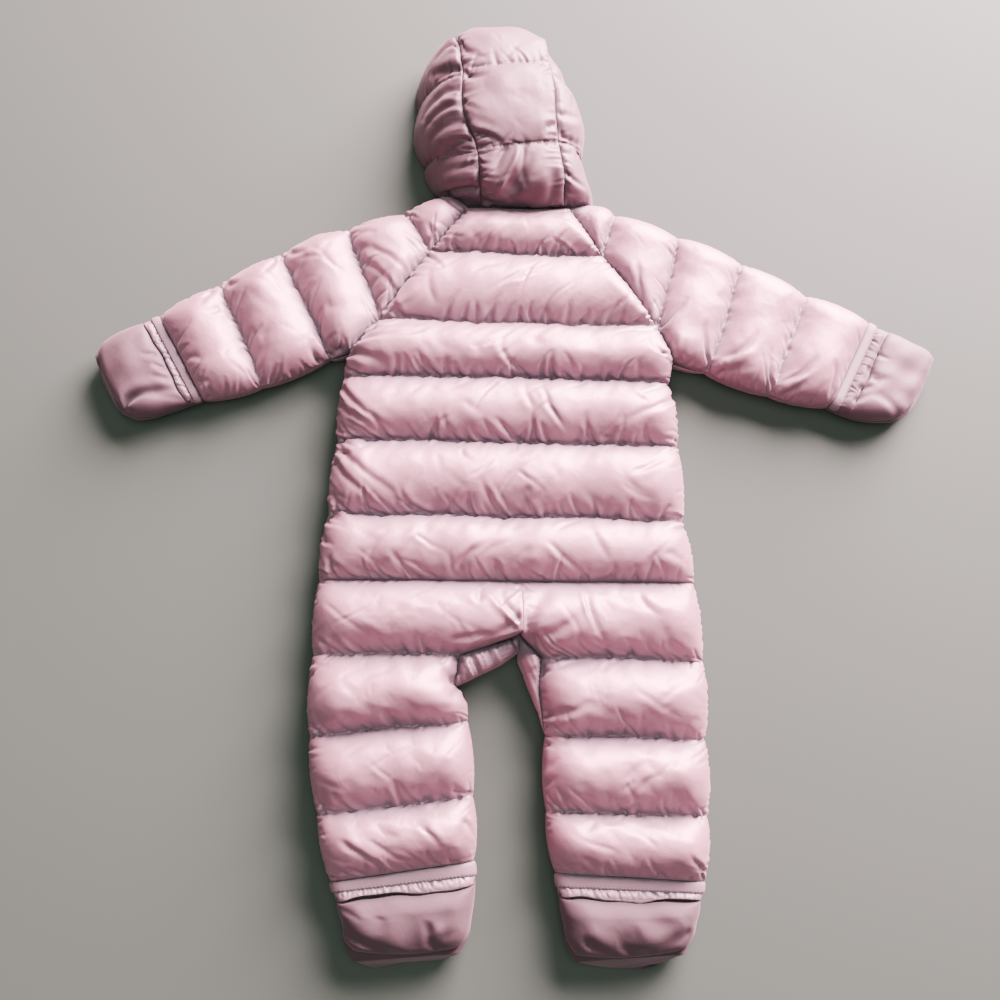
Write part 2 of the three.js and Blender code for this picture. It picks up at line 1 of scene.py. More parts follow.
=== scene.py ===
# %% [markdown]
# # A baby's quilted down snowsuit, laid out on its front
#
# The suit lies flat with its back upwards, so what shows is outer cloth that is quilted over down.
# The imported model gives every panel's place and size. This script makes the cloth itself: each
# panel is a fine sheet that is sewn down along its seams and blown up between them.

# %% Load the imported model
import math

import bpy
import numpy as np
from mathutils import Matrix, Vector


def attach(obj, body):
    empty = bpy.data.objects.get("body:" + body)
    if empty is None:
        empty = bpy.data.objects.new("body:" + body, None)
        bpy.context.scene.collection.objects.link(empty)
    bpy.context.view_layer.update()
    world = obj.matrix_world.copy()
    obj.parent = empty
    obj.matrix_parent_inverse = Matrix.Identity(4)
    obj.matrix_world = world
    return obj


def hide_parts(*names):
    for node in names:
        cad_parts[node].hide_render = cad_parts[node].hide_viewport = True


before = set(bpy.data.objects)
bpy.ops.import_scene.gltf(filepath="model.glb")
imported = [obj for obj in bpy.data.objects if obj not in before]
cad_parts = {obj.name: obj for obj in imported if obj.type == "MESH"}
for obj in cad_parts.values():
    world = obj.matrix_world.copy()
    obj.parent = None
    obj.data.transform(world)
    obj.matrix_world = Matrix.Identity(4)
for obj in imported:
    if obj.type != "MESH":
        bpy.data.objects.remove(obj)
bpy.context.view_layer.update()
print("nodes:", len(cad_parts))

# %% [markdown]
# ## The camera and the light
#
# The photograph was taken from above with a wide view, 14 degrees off the vertical. The weave of
# the carpet under the suit fixed that tilt. A large soft light on the hood's side gives each baffle
# its bright upper half and its dark lower edge, as the window does in the photograph. The render's
# tone curve takes colour out of bright cloth and adds some to shaded cloth, so the window's light
# is pinkish and the room's a little green.

# %% Camera
MM = 0.001
FOOTPRINT_CENTRE = np.array([9.58, 146.75, 0.0])   # from the crotch to the middle of the footprint
CAMERA_AT = (-99.7, -243.7, 908.0)
CAMERA_RIGHT = (0.99627, 0.00532, 0.08610)
CAMERA_UP = (-0.02488, 0.97344, 0.22756)
CAMERA_FORWARD = (0.08260, 0.22886, -0.96995)
SENSOR, LENS = 36.0, 38.99

camera = bpy.data.objects.new("camera", bpy.data.cameras.new("camera"))
camera.data.sensor_width = SENSOR
camera.data.lens = LENS
turn = Matrix((CAMERA_RIGHT, CAMERA_UP, [-x for x in CAMERA_FORWARD])).transposed()
camera.matrix_world = Matrix.Translation(Vector(CAMERA_AT) * MM) @ turn.to_4x4()
bpy.context.collection.objects.link(camera)
bpy.context.scene.camera = camera
print("camera height in metres:", round(camera.location.z, 3))


# %% Floor and light
def area_light(name, at, size, power, colour):
    """A square soft light at a point, in metres, that looks at the middle of the suit."""
    light = bpy.data.lights.new(name, "AREA")
    light.shape, light.size, light.energy, light.color = "SQUARE", size, power, colour
    lamp = bpy.data.objects.new(name, light)
    lamp.location = at
    lamp.rotation_euler = (-Vector(at)).to_track_quat("-Z", "Y").to_euler()
    bpy.context.collection.objects.link(lamp)


FLOOR_SIZE, FLOOR_DROP = 12.0, 0.0004
bpy.ops.mesh.primitive_plane_add(size=FLOOR_SIZE, location=(0, 0, -FLOOR_DROP))
floor = bpy.context.object
floor.name = "floor"
area_light("window", at=(1.1, 1.75, 0.95), size=1.8, power=2050, colour=(1.0, 0.78, 0.84))
area_light("room", at=(-0.2, -0.4, 2.6), size=2.6, power=115, colour=(0.9, 1.0, 0.95))
print("lights:", len(bpy.data.lights))

# %% [markdown]
# ## The cloth
#
# Down needs a tightly woven nylon that feathers can't get through. It's thin and slightly shiny, so
# its look is mostly satin highlights on creases. Two wave textures at right angles make the weave,
# a noise makes the faint crackle of nylon that has been folded, and larger cells the flat facets
# of stiff cloth. The colour drifts a little, because dyed cloth over down is never quite even.
# Where other cloth shuts it in, its colour is painted darker and greyer, as painted shade.

# %% Materials
DUSTY_PINK = (0.262, 0.108, 0.147)
SHADED_PINK = (0.236, 0.096, 0.131)
SHEEN, SHEEN_TINT, GLINT_TINT = 0.12, (1.0, 0.62, 0.72, 1), (1.0, 0.64, 0.75, 1)
DRIFT_SCALE, FACET_SCALE, CRACKLE_SCALE = 9, 42, 95
DRIFT_FROM, DRIFT_TO, THREAD_HEIGHT = 0.35, 0.65, 0.00003
# Painted shade: how far to look for other cloth, and the range and tone of the darker colour painted
# there.
PAINTED_SHADE_REACH, PAINTED_SHADE_FROM, PAINTED_SHADE_TO = 0.03, 0.45, 1.0
PAINTED_SHADE_TONE = (0.62, 1.05, 0.95)


def satin_nylon(name, light, dark, roughness, crackle, weave_pitch, gloss=0.0):
    """Woven nylon: weave_pitch is the distance between its threads, in metres."""
    material = bpy.data.materials.new(name)
    material.use_nodes = True
    nodes, links = material.node_tree.nodes, material.node_tree.links
    cloth = nodes["Principled BSDF"]
    cloth.inputs["Roughness"].default_value = roughness
    cloth.inputs["Sheen Weight"].default_value = SHEEN
    cloth.inputs["Sheen Tint"].default_value = SHEEN_TINT
    cloth.inputs["Specular Tint"].default_value = GLINT_TINT
    cloth.inputs["Metallic"].default_value = gloss
    place = nodes.new("ShaderNodeTexCoord")

    def texture(kind, scale, **settings):
        node = nodes.new(kind)
        node.inputs["Scale"].default_value = scale
        for key, value in settings.items():
            if key in node.inputs:
                node.inputs[key].default_value = value
            else:
                setattr(node, key, value)
        links.new(place.outputs["Object"], node.inputs["Vector"])
        return node

    drift = texture("ShaderNodeTexNoise", DRIFT_SCALE, Detail=3.0)
    ramp = nodes.new("ShaderNodeValToRGB")
    for stop, at, tone in zip(ramp.color_ramp.elements, (DRIFT_FROM, DRIFT_TO), (dark, light)):
        stop.position, stop.color = at, (*tone, 1)
    links.new(drift.outputs["Fac"], ramp.inputs["Fac"])

    # Painted shade: where other cloth shuts the cloth in, its colour is made darker and greyer,
    # because light that has bounced off pink makes it too pink.
    painted_shade_ao = nodes.new("ShaderNodeAmbientOcclusion")
    painted_shade_ao.samples = 4
    painted_shade_ao.inputs["Distance"].default_value = PAINTED_SHADE_REACH
    share = nodes.new("ShaderNodeMapRange")
    share.inputs["From Min"].default_value = PAINTED_SHADE_FROM
    share.inputs["From Max"].default_value = PAINTED_SHADE_TO
    painted_shade_mix = nodes.new("ShaderNodeMixRGB")
    painted_shade_mix.inputs["Color1"].default_value = (*(c * tone for c, tone in zip(dark, PAINTED_SHADE_TONE)), 1)
    links.new(painted_shade_ao.outputs["AO"], share.inputs["Value"])
    links.new(share.outputs["Result"], painted_shade_mix.inputs["Fac"])
    links.new(ramp.outputs["Color"], painted_shade_mix.inputs["Color2"])
    links.new(painted_shade_mix.outputs["Color"], cloth.inputs["Base Color"])

    # Blender's wave texture makes 20 radians of wave in a metre at a scale of 1.
    wave_scale = 2 * math.pi / (20 * weave_pitch)
    warp = texture("ShaderNodeTexWave", wave_scale, bands_direction="X")
    weft = texture("ShaderNodeTexWave", wave_scale, bands_direction="Y")
    threads = nodes.new("ShaderNodeMath")
    threads.operation = "ADD"
    links.new(warp.outputs["Fac"], threads.inputs[0])
    links.new(weft.outputs["Fac"], threads.inputs[1])
    facets = texture("ShaderNodeTexVoronoi", FACET_SCALE, Randomness=1.0)
    folds = texture("ShaderNodeTexNoise", CRACKLE_SCALE, Detail=4.0, Roughness=0.55, Distortion=0.7)
    normal = None
    for height, distance, strength in ((facets.outputs["Distance"], 4 * crackle, 0.3),
                                       (folds.outputs["Fac"], crackle, 0.5),
                                       (threads.outputs["Value"], THREAD_HEIGHT, 0.35)):
        bump = nodes.new("ShaderNodeBump")
        bump.inputs["Strength"].default_value = strength
        bump.inputs["Distance"].default_value = distance
        links.new(height, bump.inputs["Height"])
        if normal:
            links.new(normal, bump.inputs["Normal"])
        normal = bump.outputs["Normal"]
    links.new(normal, cloth.inputs["Normal"])
    return material


# Light and dark tone, then roughness, crackle, weave pitch and gloss.
QUILTED_NYLON = satin_nylon("quilted nylon", DUSTY_PINK, SHADED_PINK, 0.48, 0.0007, 0.0004, 0.3)
# A darker copy of the same nylon for the hood: painted shade.
HOOD_NYLON_PAINTED_SHADE = satin_nylon("hood nylon, painted shade", (0.09, 0.041, 0.054), (0.079, 0.036, 0.047),
                         0.54, 0.0006, 0.0004, 0.3)
# Darker copies of the same nylon for the mitts and booties: painted shade.
MITT_NYLON_PAINTED_SHADE = satin_nylon("mitt nylon, painted shade", (0.072, 0.034, 0.044), (0.063, 0.03, 0.039),
                         0.66, 0.0006, 0.0004, 0.1)
BOOTIE_NYLON_PAINTED_SHADE = satin_nylon("bootie nylon, painted shade", (0.041, 0.0205, 0.0258), (0.036, 0.018, 0.0226),
                           0.76, 0.0006, 0.0004)
# A copy of the same nylon, lighter than the mitt and bootie ones: painted light on the gathers.
GATHERED_NYLON_PAINTED_LIGHT = satin_nylon("gathered nylon, painted light", (0.2, 0.1, 0.127), (0.18, 0.09, 0.113),
                             0.48, 0.0004, 0.0004, 0.2)
BINDING_CLOTH = satin_nylon("elastic binding", (0.14, 0.072, 0.091), (0.125, 0.065, 0.082),
                            0.65, 0.0002, 0.0007)
# A near-black copy of the nylon, laid in the deep of an open slit: painted shade.
SLIT_PAINTED_SHADE = satin_nylon("painted shade in a pouch's slit", (0.04, 0.022, 0.027), (0.034, 0.018, 0.023),
                           0.6, 0.0006, 0.0004)
LINING_CLOTH = satin_nylon("lining", (0.23, 0.15, 0.17), (0.2, 0.13, 0.15), 0.5, 0.0006, 0.0005)
THREAD = satin_nylon("sewing thread", (0.2, 0.12, 0.145), (0.18, 0.105, 0.13), 0.6, 0.0, 0.0003)


def plain_material(name, colour, roughness, metallic=0.0, grain=600):
    """A hard or matt finish with a fine grain in its bump."""
    material = bpy.data.materials.new(name)
    material.use_nodes = True
    nodes, links = material.node_tree.nodes, material.node_tree.links
    surface = nodes["Principled BSDF"]
    surface.inputs["Base Color"].default_value = (*colour, 1)
    surface.inputs["Roughness"].default_value = roughness
    surface.inputs["Metallic"].default_value = metallic
    noise = nodes.new("ShaderNodeTexNoise")
    noise.inputs["Scale"].default_value = grain
    bump = nodes.new("ShaderNodeBump")
    bump.inputs["Distance"].default_value = 0.00005
    bump.inputs["Strength"].default_value = 0.3
    links.new(noise.outputs["Fac"], bump.inputs["Height"])
    links.new(bump.outputs["Normal"], surface.inputs["Normal"])
    return material


ZIP_METAL = plain_material("zip metal", (0.5, 0.47, 0.47), 0.32, 0.9)
ZIP_COIL = plain_material("zip coil", (0.22, 0.13, 0.155), 0.45)
floor.data.materials.append(plain_material("pale floor", (0.0222, 0.0276, 0.0208), 0.85, 0.0, 90))
print("materials:", len(bpy.data.materials))

# %% [markdown]
# ## Where the seams run
#
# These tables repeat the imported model's sections, so each sheet lies where its solid does. Each row
# is one section of a panel, from one edge to the other, and a whole number in the first column is a
# line of quilting. free is 1 at a side seam, where the panel rounds down, and 0 where the next panel
# is sewn on. rise is how high the middle of a baffle stands over its quilting, and was set by the
# light on the finished cloth: a little fuller than the solids on the legs, and flatter on the sleeves.

# %% Heights and tables of the body
MID_PLANE, SEAM_GAP, SEWN_GAP, SEAM_WALL = 16.0, 0.3, 0.1, 2.0
CENTRE_SEAM_DIP = 0.06
VALLEY = 27.0
GROOVE = 4.5
SIDE_BULGE = 3.0
BACK_UNDER = MID_PLANE + SEAM_GAP / 2
FRONT_OVER = MID_PLANE - SEAM_GAP / 2
BACK_EDGE = BACK_UNDER + SEAM_WALL
FRONT_EDGE = FRONT_OVER - SEAM_WALL


def table(columns, rows):
    """Rows of numbers as one array for each named column."""
    return dict(zip(columns.split(), np.array(rows, float).T))


PANEL = "line ax ay bx by free_a free_b rise"
TORSO = table(PANEL, [
    (0.0, -45.0, 378.0, 45.0, 381.5, 0, 0, 14),
    (1.0, -78.0, 334.5, 75.5, 336.0, 0, 0, 18),
    (2.0, -121.0, 268.5, 123.0, 271.5, 0, 0, 20),
    (2.5, -143.5, 241.0, 135.5, 242.0, 0, 0, 20),
    (3.0, -149.0, 217.0, 133.0, 220.5, 1, 1, 20),
    (4.0, -152.0, 160.0, 139.5, 163.0, 1, 1, 21),
    (5.0, -157.0, 97.0, 141.5, 96.5, 1, 1, 21),
    (6.0, -162.5, 41.0, 149.5, 44.0, 1, 1, 20)])
LEG_BACKS = {
    "left": table(PANEL, [
        (0.0, -162.5, 40.9, 2.24, 42.5, 1, 0, 23),
        (0.7, -164.0, -1.0, 2.24, -1.0, 1, 0, 22),
        (0.85, -164.5, -11.0, -24.0, -10.0, 1, 0.7, 22),
        (1.0, -164.5, -20.0, -47.0, -18.0, 1, 1, 22),
        (1.35, -165.0, -43.0, -54.0, -41.0, 1, 1, 23),
        (1.65, -165.0, -63.0, -43.0, -57.0, 1, 1, 23),
        (2.0, -164.5, -83.0, -40.0, -71.0, 1, 1, 23),
        (3.0, -156.0, -143.0, -35.0, -129.5, 1, 1, 21),
        (4.0, -144.0, -192.5, -33.5, -177.5, 1, 1, 17)]),
    "right": table(PANEL, [
        (0.0, 2.28, 42.5, 149.5, 43.9, 0, 1, 23),
        (0.7, 2.28, -1.0, 152.5, -2.0, 0, 1, 22),
        (0.85, 13.0, -10.0, 153.5, -12.0, 0.7, 1, 22),
        (1.0, 21.0, -19.0, 154.5, -21.0, 1, 1, 22),
        (1.35, 21.5, -42.0, 155.0, -43.0, 1, 1, 23),
        (1.65, 24.0, -61.0, 154.5, -63.0, 1, 1, 23),
        (2.0, 24.0, -81.5, 154.0, -83.5, 1, 1, 23),
        (3.0, 24.5, -140.5, 154.0, -144.0, 1, 1, 21),
        (4.0, 31.0, -186.5, 149.5, -193.5, 1, 1, 17)])}
print("baffles on the back:", int(TORSO["line"][-1]), "and on each leg:", 4)

# %% [markdown]
# The fronts of the legs are cut deeper round the crotch, so a little of them shows between the
# legs. Only their inseam differs from the backs, so the rows above are reused.

# %% Tables of the leg fronts, the body fronts and the sleeves
LEG_FRONTS = {side: {k: v.copy() for k, v in rows.items()} for side, rows in LEG_BACKS.items()}
LEG_FRONTS["left"]["bx"][1:6] = [2.1, -15.0, -33.0, -52.5, -43.0]
LEG_FRONTS["left"]["by"][1:6] = [-15.0, -26.0, -35.5, -43.5, -57.5]
LEG_FRONTS["right"]["ax"][1:6] = [2.4, 2.5, 6.0, 15.0, 21.0]
LEG_FRONTS["right"]["ay"][1:6] = [-13.0, -22.0, -33.0, -50.0, -64.0]
ZIP_TOP, ZIP_BOTTOM, ZIP_HALF_WIDTH = 400.0, 62.0, 5.5
CHIN_TOP, CHIN_HALF_WIDTH = 401.75, 28.0
CHIN_LINES, CHIN_FREE, ZIP_LAST_LINE, RAGLAN_LAST_LINE = 0.7, 0.4, 5.8, 2.5


def front_half(side):
    """One half of the body's front, from the chin guard to the hips, beside the zip."""
    sign, edge = (-1, "a") if side == "left" else (1, "b")
    lines = np.array([-CHIN_LINES, -0.3, 0, 1, 2, 2.5, 3, 4, 5, 5.7, 6])
    body = {k: np.interp(lines, TORSO["line"], TORSO[k]) for k in TORSO}
    outer_x, outer_y = body[edge + "x"], body[edge + "y"]
    inner_x = np.where(lines > ZIP_LAST_LINE, SEAM_GAP / 2, ZIP_HALF_WIDTH + SEAM_GAP) * sign
    share = (inner_x - body["ax"]) / (body["bx"] - body["ax"])
    inner_y = body["ay"] + (body["by"] - body["ay"]) * share
    chin = lines < 0
    neck_y = (TORSO["ay"][0] + TORSO["by"][0]) / 2
    chin_y = neck_y + (CHIN_TOP - neck_y) * -lines[chin] / CHIN_LINES
    outer_x[chin], outer_y[chin], inner_y[chin] = sign * CHIN_HALF_WIDTH, chin_y, chin_y
    free = np.where(chin, CHIN_FREE, body["free_a"])
    zero = np.zeros_like(lines)
    outer, inner = (outer_x, outer_y, free), (inner_x, inner_y, zero)
    a, b = (outer, inner) if side == "left" else (inner, outer)
    return dict(line=lines, ax=a[0], ay=a[1], bx=b[0], by=b[1], free_a=a[2], free_b=b[2],
                rise=body["rise"])


def raglan(side, rows):
    """A sleeve whose first sections follow the body's edge, with a seam gap between them."""
    sign, body_edge = (-1, "a") if side == "left" else (1, "b")
    sleeve = table(PANEL, rows)
    sewn = sleeve["line"] <= RAGLAN_LAST_LINE
    for axis, gap in (("x", sign * SEWN_GAP), ("y", SEWN_GAP)):
        edge = np.interp(sleeve["line"][sewn], TORSO["line"], TORSO[body_edge + axis])
        sleeve["b" + axis][sewn] = edge + gap
    return sleeve


SLEEVES = {
    "left": raglan("left", [
        (0.0, -61.5, 392.0, 0, 0, 1, 0, 9), (1.0, -102.0, 371.0, 0, 0, 1, 0, 13),
        (2.0, -150.0, 354.0, 0, 0, 1, 0, 16), (2.5, -179.0, 343.0, 0, 0, 1, 0, 17),
        (3.0, -208.0, 327.0, -162.0, 234.5, 1, 1, 17), (4.0, -258.0, 296.0, -218.0, 207.0, 1, 1, 16),
        (5.0, -307.0, 266.0, -267.0, 194.0, 1, 1, 14)]),
    "right": raglan("right", [
        (0.0, 69.0, 388.0, 0, 0, 1, 0, 9), (1.0, 88.0, 380.0, 0, 0, 1, 0, 14),
        (2.0, 145.0, 361.0, 0, 0, 1, 0, 15), (2.5, 174.0, 350.0, 0, 0, 1, 0, 15),
        (3.0, 204.0, 337.0, 168.0, 234.5, 1, 1, 15), (4.0, 262.5, 309.0, 225.0, 215.0, 1, 1, 14),
        (5.0, 319.0, 286.0, 278.0, 206.0, 1, 1, 14)])}
print("sleeve sections:", len(SLEEVES["left"]["line"]))

# %% [markdown]
# ## From a table to a sheet
#
# A grid of points a few millimetres apart is laid over each panel. Rows crowd together near the
# quilting and columns near the side seams, where the cloth bends most. The starting shape is what
# down makes of a channel: full in the middle and pinched along the stitches.

# %% Grids of points
CELL_ACROSS, CELL_ALONG = 2.15, 2.9
PUFF_ROUNDNESS, ROLL = 0.7, 1.4
SIDE_BAND = 26.0
QUILTING_STRAYS = ((1.5, 80, 0), (0.7, 15, 7))     # height, size, step of the seed
UNEVEN_DOWN = ((1.2, 60, 0), (0.4, 24, 50))
UNEVEN_VALLEY = ((1.0, 60, 90),)


def puff(line):
    """How full a baffle is: 0 on its quilting, 1 in the middle."""
    return np.abs(np.sin(np.pi * line)) ** PUFF_ROUNDNESS


def quarter(distance, radius):
    """How far a panel has risen at a distance from an edge that rounds over that radius."""
    return np.sqrt(1 - (1 - np.clip(distance / np.maximum(radius, 0.01), 0, 1)) ** 2)


def middle_of(panel, line):
    """The middle of a panel's section at a line, in plan."""
    return np.array([(np.interp(line, panel["line"], panel["a" + axis])
                      + np.interp(line, panel["line"], panel["b" + axis])) / 2 for axis in "xy"])


def dense_lines(panel, cell):
    """Lines for the grid's rows, with one row exactly on each line of quilting."""
    first, last = panel["line"][0], panel["line"][-1]
    stops = sorted({first, last, *range(math.ceil(first), math.floor(last) + 1)})
    lines = [first]
    for low, high in zip(stops, stops[1:]):
        length = np.linalg.norm(middle_of(panel, high) - middle_of(panel, low))
        count = max(3, round(length * 1.15 / cell))
        t = np.arange(1, count + 1) / count
        lines += list(low + (high - low) * (0.6 * t + 0.2 * (1 - np.cos(np.pi * t))))
    return np.array(lines)


def dense_shares(width, cell, band=SIDE_BAND):
    """Shares of a panel's width for the grid's columns, closer together near both edges."""
    near = band * (1 - np.cos(np.linspace(0, math.pi / 2, round(band * 1.5 / cell))))
    middle = np.linspace(band, width - band, max(3, round((width - 2 * band) / cell)))[1:-1]
    return np.concatenate([near, middle, width - near[::-1]]) / width


def slow_waves(x, y, size, seed):
    """Smooth random ground between -1 and 1, whose bumps are about size across."""
    chance = np.random.default_rng(seed)
    total = np.zeros_like(x)
    for angle, phase, stretch in chance.uniform(0, 1, (9, 3)) * (math.pi, 2 * math.pi, 0.9):
        k = 2 * math.pi / (size * (0.7 + stretch))
        total += np.sin(k * (x * math.cos(angle) + y * math.sin(angle)) + phase)
    return total / 4.5


def ground(x, y, waves, seed):
    """Slow waves of several sizes together, each given as (height, size, step of the seed)."""
    return sum(height * slow_waves(x, y, size, seed + step) for height, size, step in waves)


def lay_out(panel, across, along, seed):
    """A panel's grid in plan, with its lines and the distance to both edges, in millimetres."""
    line = dense_lines(panel, along)
    at = {key: np.interp(line, panel["line"], panel[key])[:, None] for key in panel}
    run_x, run_y = at["bx"] - at["ax"], at["by"] - at["ay"]
    width = np.hypot(run_x, run_y)
    full = puff(line)[:, None]
    for key, run in (("x", run_x), ("y", run_y)):
        at["a" + key] = at["a" + key] - run / width * SIDE_BULGE * full * at["free_a"]
        at["b" + key] = at["b" + key] + run / width * SIDE_BULGE * full * at["free_b"]
    share = dense_shares(width.max(), across)[None, :]
    x = at["ax"] + (at["bx"] - at["ax"]) * share
    y = at["ay"] + (at["by"] - at["ay"]) * share
    width = np.hypot(at["bx"] - at["ax"], at["by"] - at["ay"])
    from_a, from_b = share * width, (1 - share) * width

    # Quilting strays a little from straight, but every outer edge has to meet its neighbour.
    down = middle_of(panel, panel["line"][-1]) - middle_of(panel, panel["line"][0])
    down /= np.linalg.norm(down)
    stray = ground(from_a, line[:, None] * 60, QUILTING_STRAYS, seed)
    stray *= np.clip(np.minimum(from_a, from_b) / 14, 0, 1)
    stray *= np.clip(np.minimum(line - line[0], line[-1] - line)[:, None] * 3, 0, 1)
    return dict(x=x + down[0] * stray, y=y + down[1] * stray, line=np.broadcast_to(line[:, None], x.shape),
                full=full, at=at, from_a=from_a, from_b=from_b)


def back_sheet(panel, seed, dip=1.0, rounder=1.0):
    """The outer cloth of a back panel before it's blown up.

    dip is how deep its sewn edges lie, and rounder above 1 turns flat-topped baffles into rolls.
    """
    grid = lay_out(panel, CELL_ACROSS, CELL_ALONG, seed)
    at, full, x, y = grid["at"], grid["full"] ** rounder, grid["x"], grid["y"]
    valley = VALLEY + ground(x, y, UNEVEN_VALLEY, seed)
    crest = valley + full * (at["rise"] + ground(x, y, UNEVEN_DOWN, seed))
    z = crest.copy()
    for free, distance in ((at["free_a"], grid["from_a"]), (at["free_b"], grid["from_b"])):
        edge = (crest - dip * (crest - valley)) * (1 - free) + BACK_EDGE * free
        z -= (crest - edge) * (1 - quarter(distance, (crest - edge) * 1.05 + SEAM_WALL))
    return np.dstack([x, y, np.maximum(z, BACK_EDGE)]), grid["line"]


back_sheets = {"quilted_back": back_sheet(TORSO, 3)}
for seed, side in enumerate(("left", "right")):
    back_sheets[f"quilted_leg_{side}_back"] = back_sheet(LEG_BACKS[side], 11, CENTRE_SEAM_DIP, ROLL)
    back_sheets[f"quilted_sleeve_{side}_back"] = back_sheet(SLEEVES[side], 21 + seed)
for name, (points, _) in back_sheets.items():
    print(name, points.shape[:2])

# %% [markdown]
# ## The hood
#
# The hood is three padded panels round an empty middle. It lies on its face opening, so it's an
# upside-down bowl: ribs stand on the floor at both feet and pass over the crown. The side panels
# bend round the head, and the centre panel runs from the nape to the forehead between two seams.

# %% The hood's ribs
HOOD = table("line left_x left_y right_x right_y top_x top_y top_z seam_left seam_right", [
    (0.0, -61.8, 393.4, 69.4, 389.6, -1.0, 376.0, 24, 60, 127),
    (0.15, -67.0, 399.0, 72.0, 395.0, -1.0, 375.5, 40, 61, 127),
    (0.4, -77.0, 404.0, 70.0, 401.0, -2.0, 384.0, 56, 62, 126),
    (1.0, -91.0, 434.0, 61.0, 432.0, -5.0, 414.0, 72, 61, 124),
    (1.5, -97.0, 462.0, 57.0, 460.0, -8.0, 452.0, 78, 54, 121),
    (2.0, -96.0, 494.0, 53.0, 487.0, -10.0, 496.0, 76, 53, 122),
    (2.5, -89.0, 520.0, 40.0, 517.0, -14.0, 538.0, 59, 47, 128),
    (2.8, -79.0, 536.0, 27.0, 534.0, -19.0, 556.0, 33, 38, 140),
    (3.0, -69.0, 544.0, 18.0, 543.0, -22.0, 557.0, 0, 34, 144)])
HOOD_MIDDLE = np.array([-17.0, 466.0, 0.0])
HOOD_INSIDE, HOOD_PINCH, HOOD_DIP_WIDTH, HOOD_FIRST_PUFF = 0.82, 0.07, 7.0, 0.4
HOOP_POWER, HOOD_SEAM_FULL, HOOD_UNEVEN, HOOD_WAVE_SIZE = 2.5, 0.4, 0.02, 40
DENT_DEPTH, DENT_LINE, DENT_REACH = 0.09, 2.45, 0.45      # on the right panel, beside the crown
NECK_SEAM = np.array([(-102.0, 371.0), (-61.5, 392.0), (-45.0, 378.0),
                      (45.0, 381.5), (69.0, 388.0), (88.0, 380.0)])
NECK_CLEAR, NECK_HEIGHT = 0.8, VALLEY + 4
SEAM_TURN = 0.3
HOOD_ROWS, CENTRE_COLUMNS, SIDE_COLUMNS = 24, 34, 28
# How far each panel's quilting runs off the ribs at its left and right edge, in lines.
HOOD_SLANT = {"left": (-0.13, -0.12), "centre": (-0.07, 0.14), "right": (0.12, 0.02)}


def smooth_at(rows, name, line):
    """A column of a table at any line, on a smooth curve through its rows."""
    x, y = rows["line"], rows[name]
    slope = np.gradient(y, x)
    i = np.clip(np.searchsorted(x, line) - 1, 0, len(x) - 2)
    h = x[i + 1] - x[i]
    t = (line - x[i]) / h
    return ((1 + 2 * t) * (1 - t) ** 2 * y[i] + t * (1 - t) ** 2 * h * slope[i]
            + t ** 2 * (3 - 2 * t) * y[i + 1] + t ** 2 * (t - 1) * h * slope[i + 1])


def hood_points(line, turn):
    """Points of the hood at a line and a turn round its hoop, from the left foot, 0, to pi."""
    at = {name: smooth_at(HOOD, name, line) for name in HOOD if name != "line"}
    share = (1 - np.cos(turn)) / 2
    height = (1 - np.abs(np.cos(turn)) ** HOOP_POWER) ** (1 / HOOP_POWER)
    x = at["left_x"] * (1 - share) + at["right_x"] * share
    y = at["left_y"] * (1 - share) + at["right_y"] * share
    x += (at["top_x"] - (at["left_x"] + at["right_x"]) / 2) * height
    y += (at["top_y"] - (at["left_y"] + at["right_y"]) / 2) * height
    z = np.maximum(at["top_z"], 0) * height
    seam = np.interp(x, NECK_SEAM[:, 0], NECK_SEAM[:, 1])
    y = np.maximum(y, seam + NECK_CLEAR - np.maximum(0, z - NECK_HEIGHT))
    return np.dstack([x, y, z])


def hood_sheet(part, start, end, seed):
    """The outer and inner cloth of one hood panel between two of its seams."""
    t = np.arange(1, HOOD_ROWS + 1) / HOOD_ROWS
    line = np.concatenate([[0]] + [k + 0.6 * t + 0.2 * (1 - np.cos(np.pi * t)) for k in range(3)])[:, None]
    sewn = [isinstance(edge, str) for edge in (start, end)]
    u = np.linspace(0, 1, CENTRE_COLUMNS if all(sewn) else SIDE_COLUMNS)[None, :]
    slant = HOOD_SLANT[part][0] * (1 - u) + HOOD_SLANT[part][1] * u
    rib = np.clip(line + slant * np.sqrt(np.sin(np.pi * np.clip(line / 3, 0, 1))), 0, 3)
    turns = [smooth_at(HOOD, edge, rib) if is_sewn else np.full_like(rib, edge)
             for edge, is_sewn in zip((start, end), sewn)]
    turn = np.radians((turns[0] + SEAM_TURN * sewn[0]) * (1 - u) + (turns[1] - SEAM_TURN * sewn[1]) * u)
    hoop = hood_points(rib, turn)
    to_edges = [np.linalg.norm(hoop - edge, axis=2) for edge in (hoop[:, :1], hoop[:, -1:])]
    dip = np.minimum(*to_edges) if all(sewn) else to_edges[1] if sewn[1] else to_edges[0]
    lines = np.broadcast_to(line, turn.shape)
    full = puff(lines) * (HOOD_SEAM_FULL + (1 - HOOD_SEAM_FULL) * quarter(dip, HOOD_DIP_WIDTH))
    depth = HOOD_PINCH * (1 - full) * np.clip(rib / HOOD_FIRST_PUFF, 0, 1)
    depth -= HOOD_UNEVEN * slow_waves(hoop[..., 0], hoop[..., 1], HOOD_WAVE_SIZE, seed) * full
    if part == "right":
        depth += (DENT_DEPTH * np.exp(-(((rib - DENT_LINE) / DENT_REACH) ** 2))
                  * quarter(dip, HOOD_DIP_WIDTH))
    outer = hoop + (HOOD_MIDDLE - hoop) * depth[..., None]
    inner = hoop + (HOOD_MIDDLE - hoop) * (1 - HOOD_INSIDE)
    return outer, lines, inner


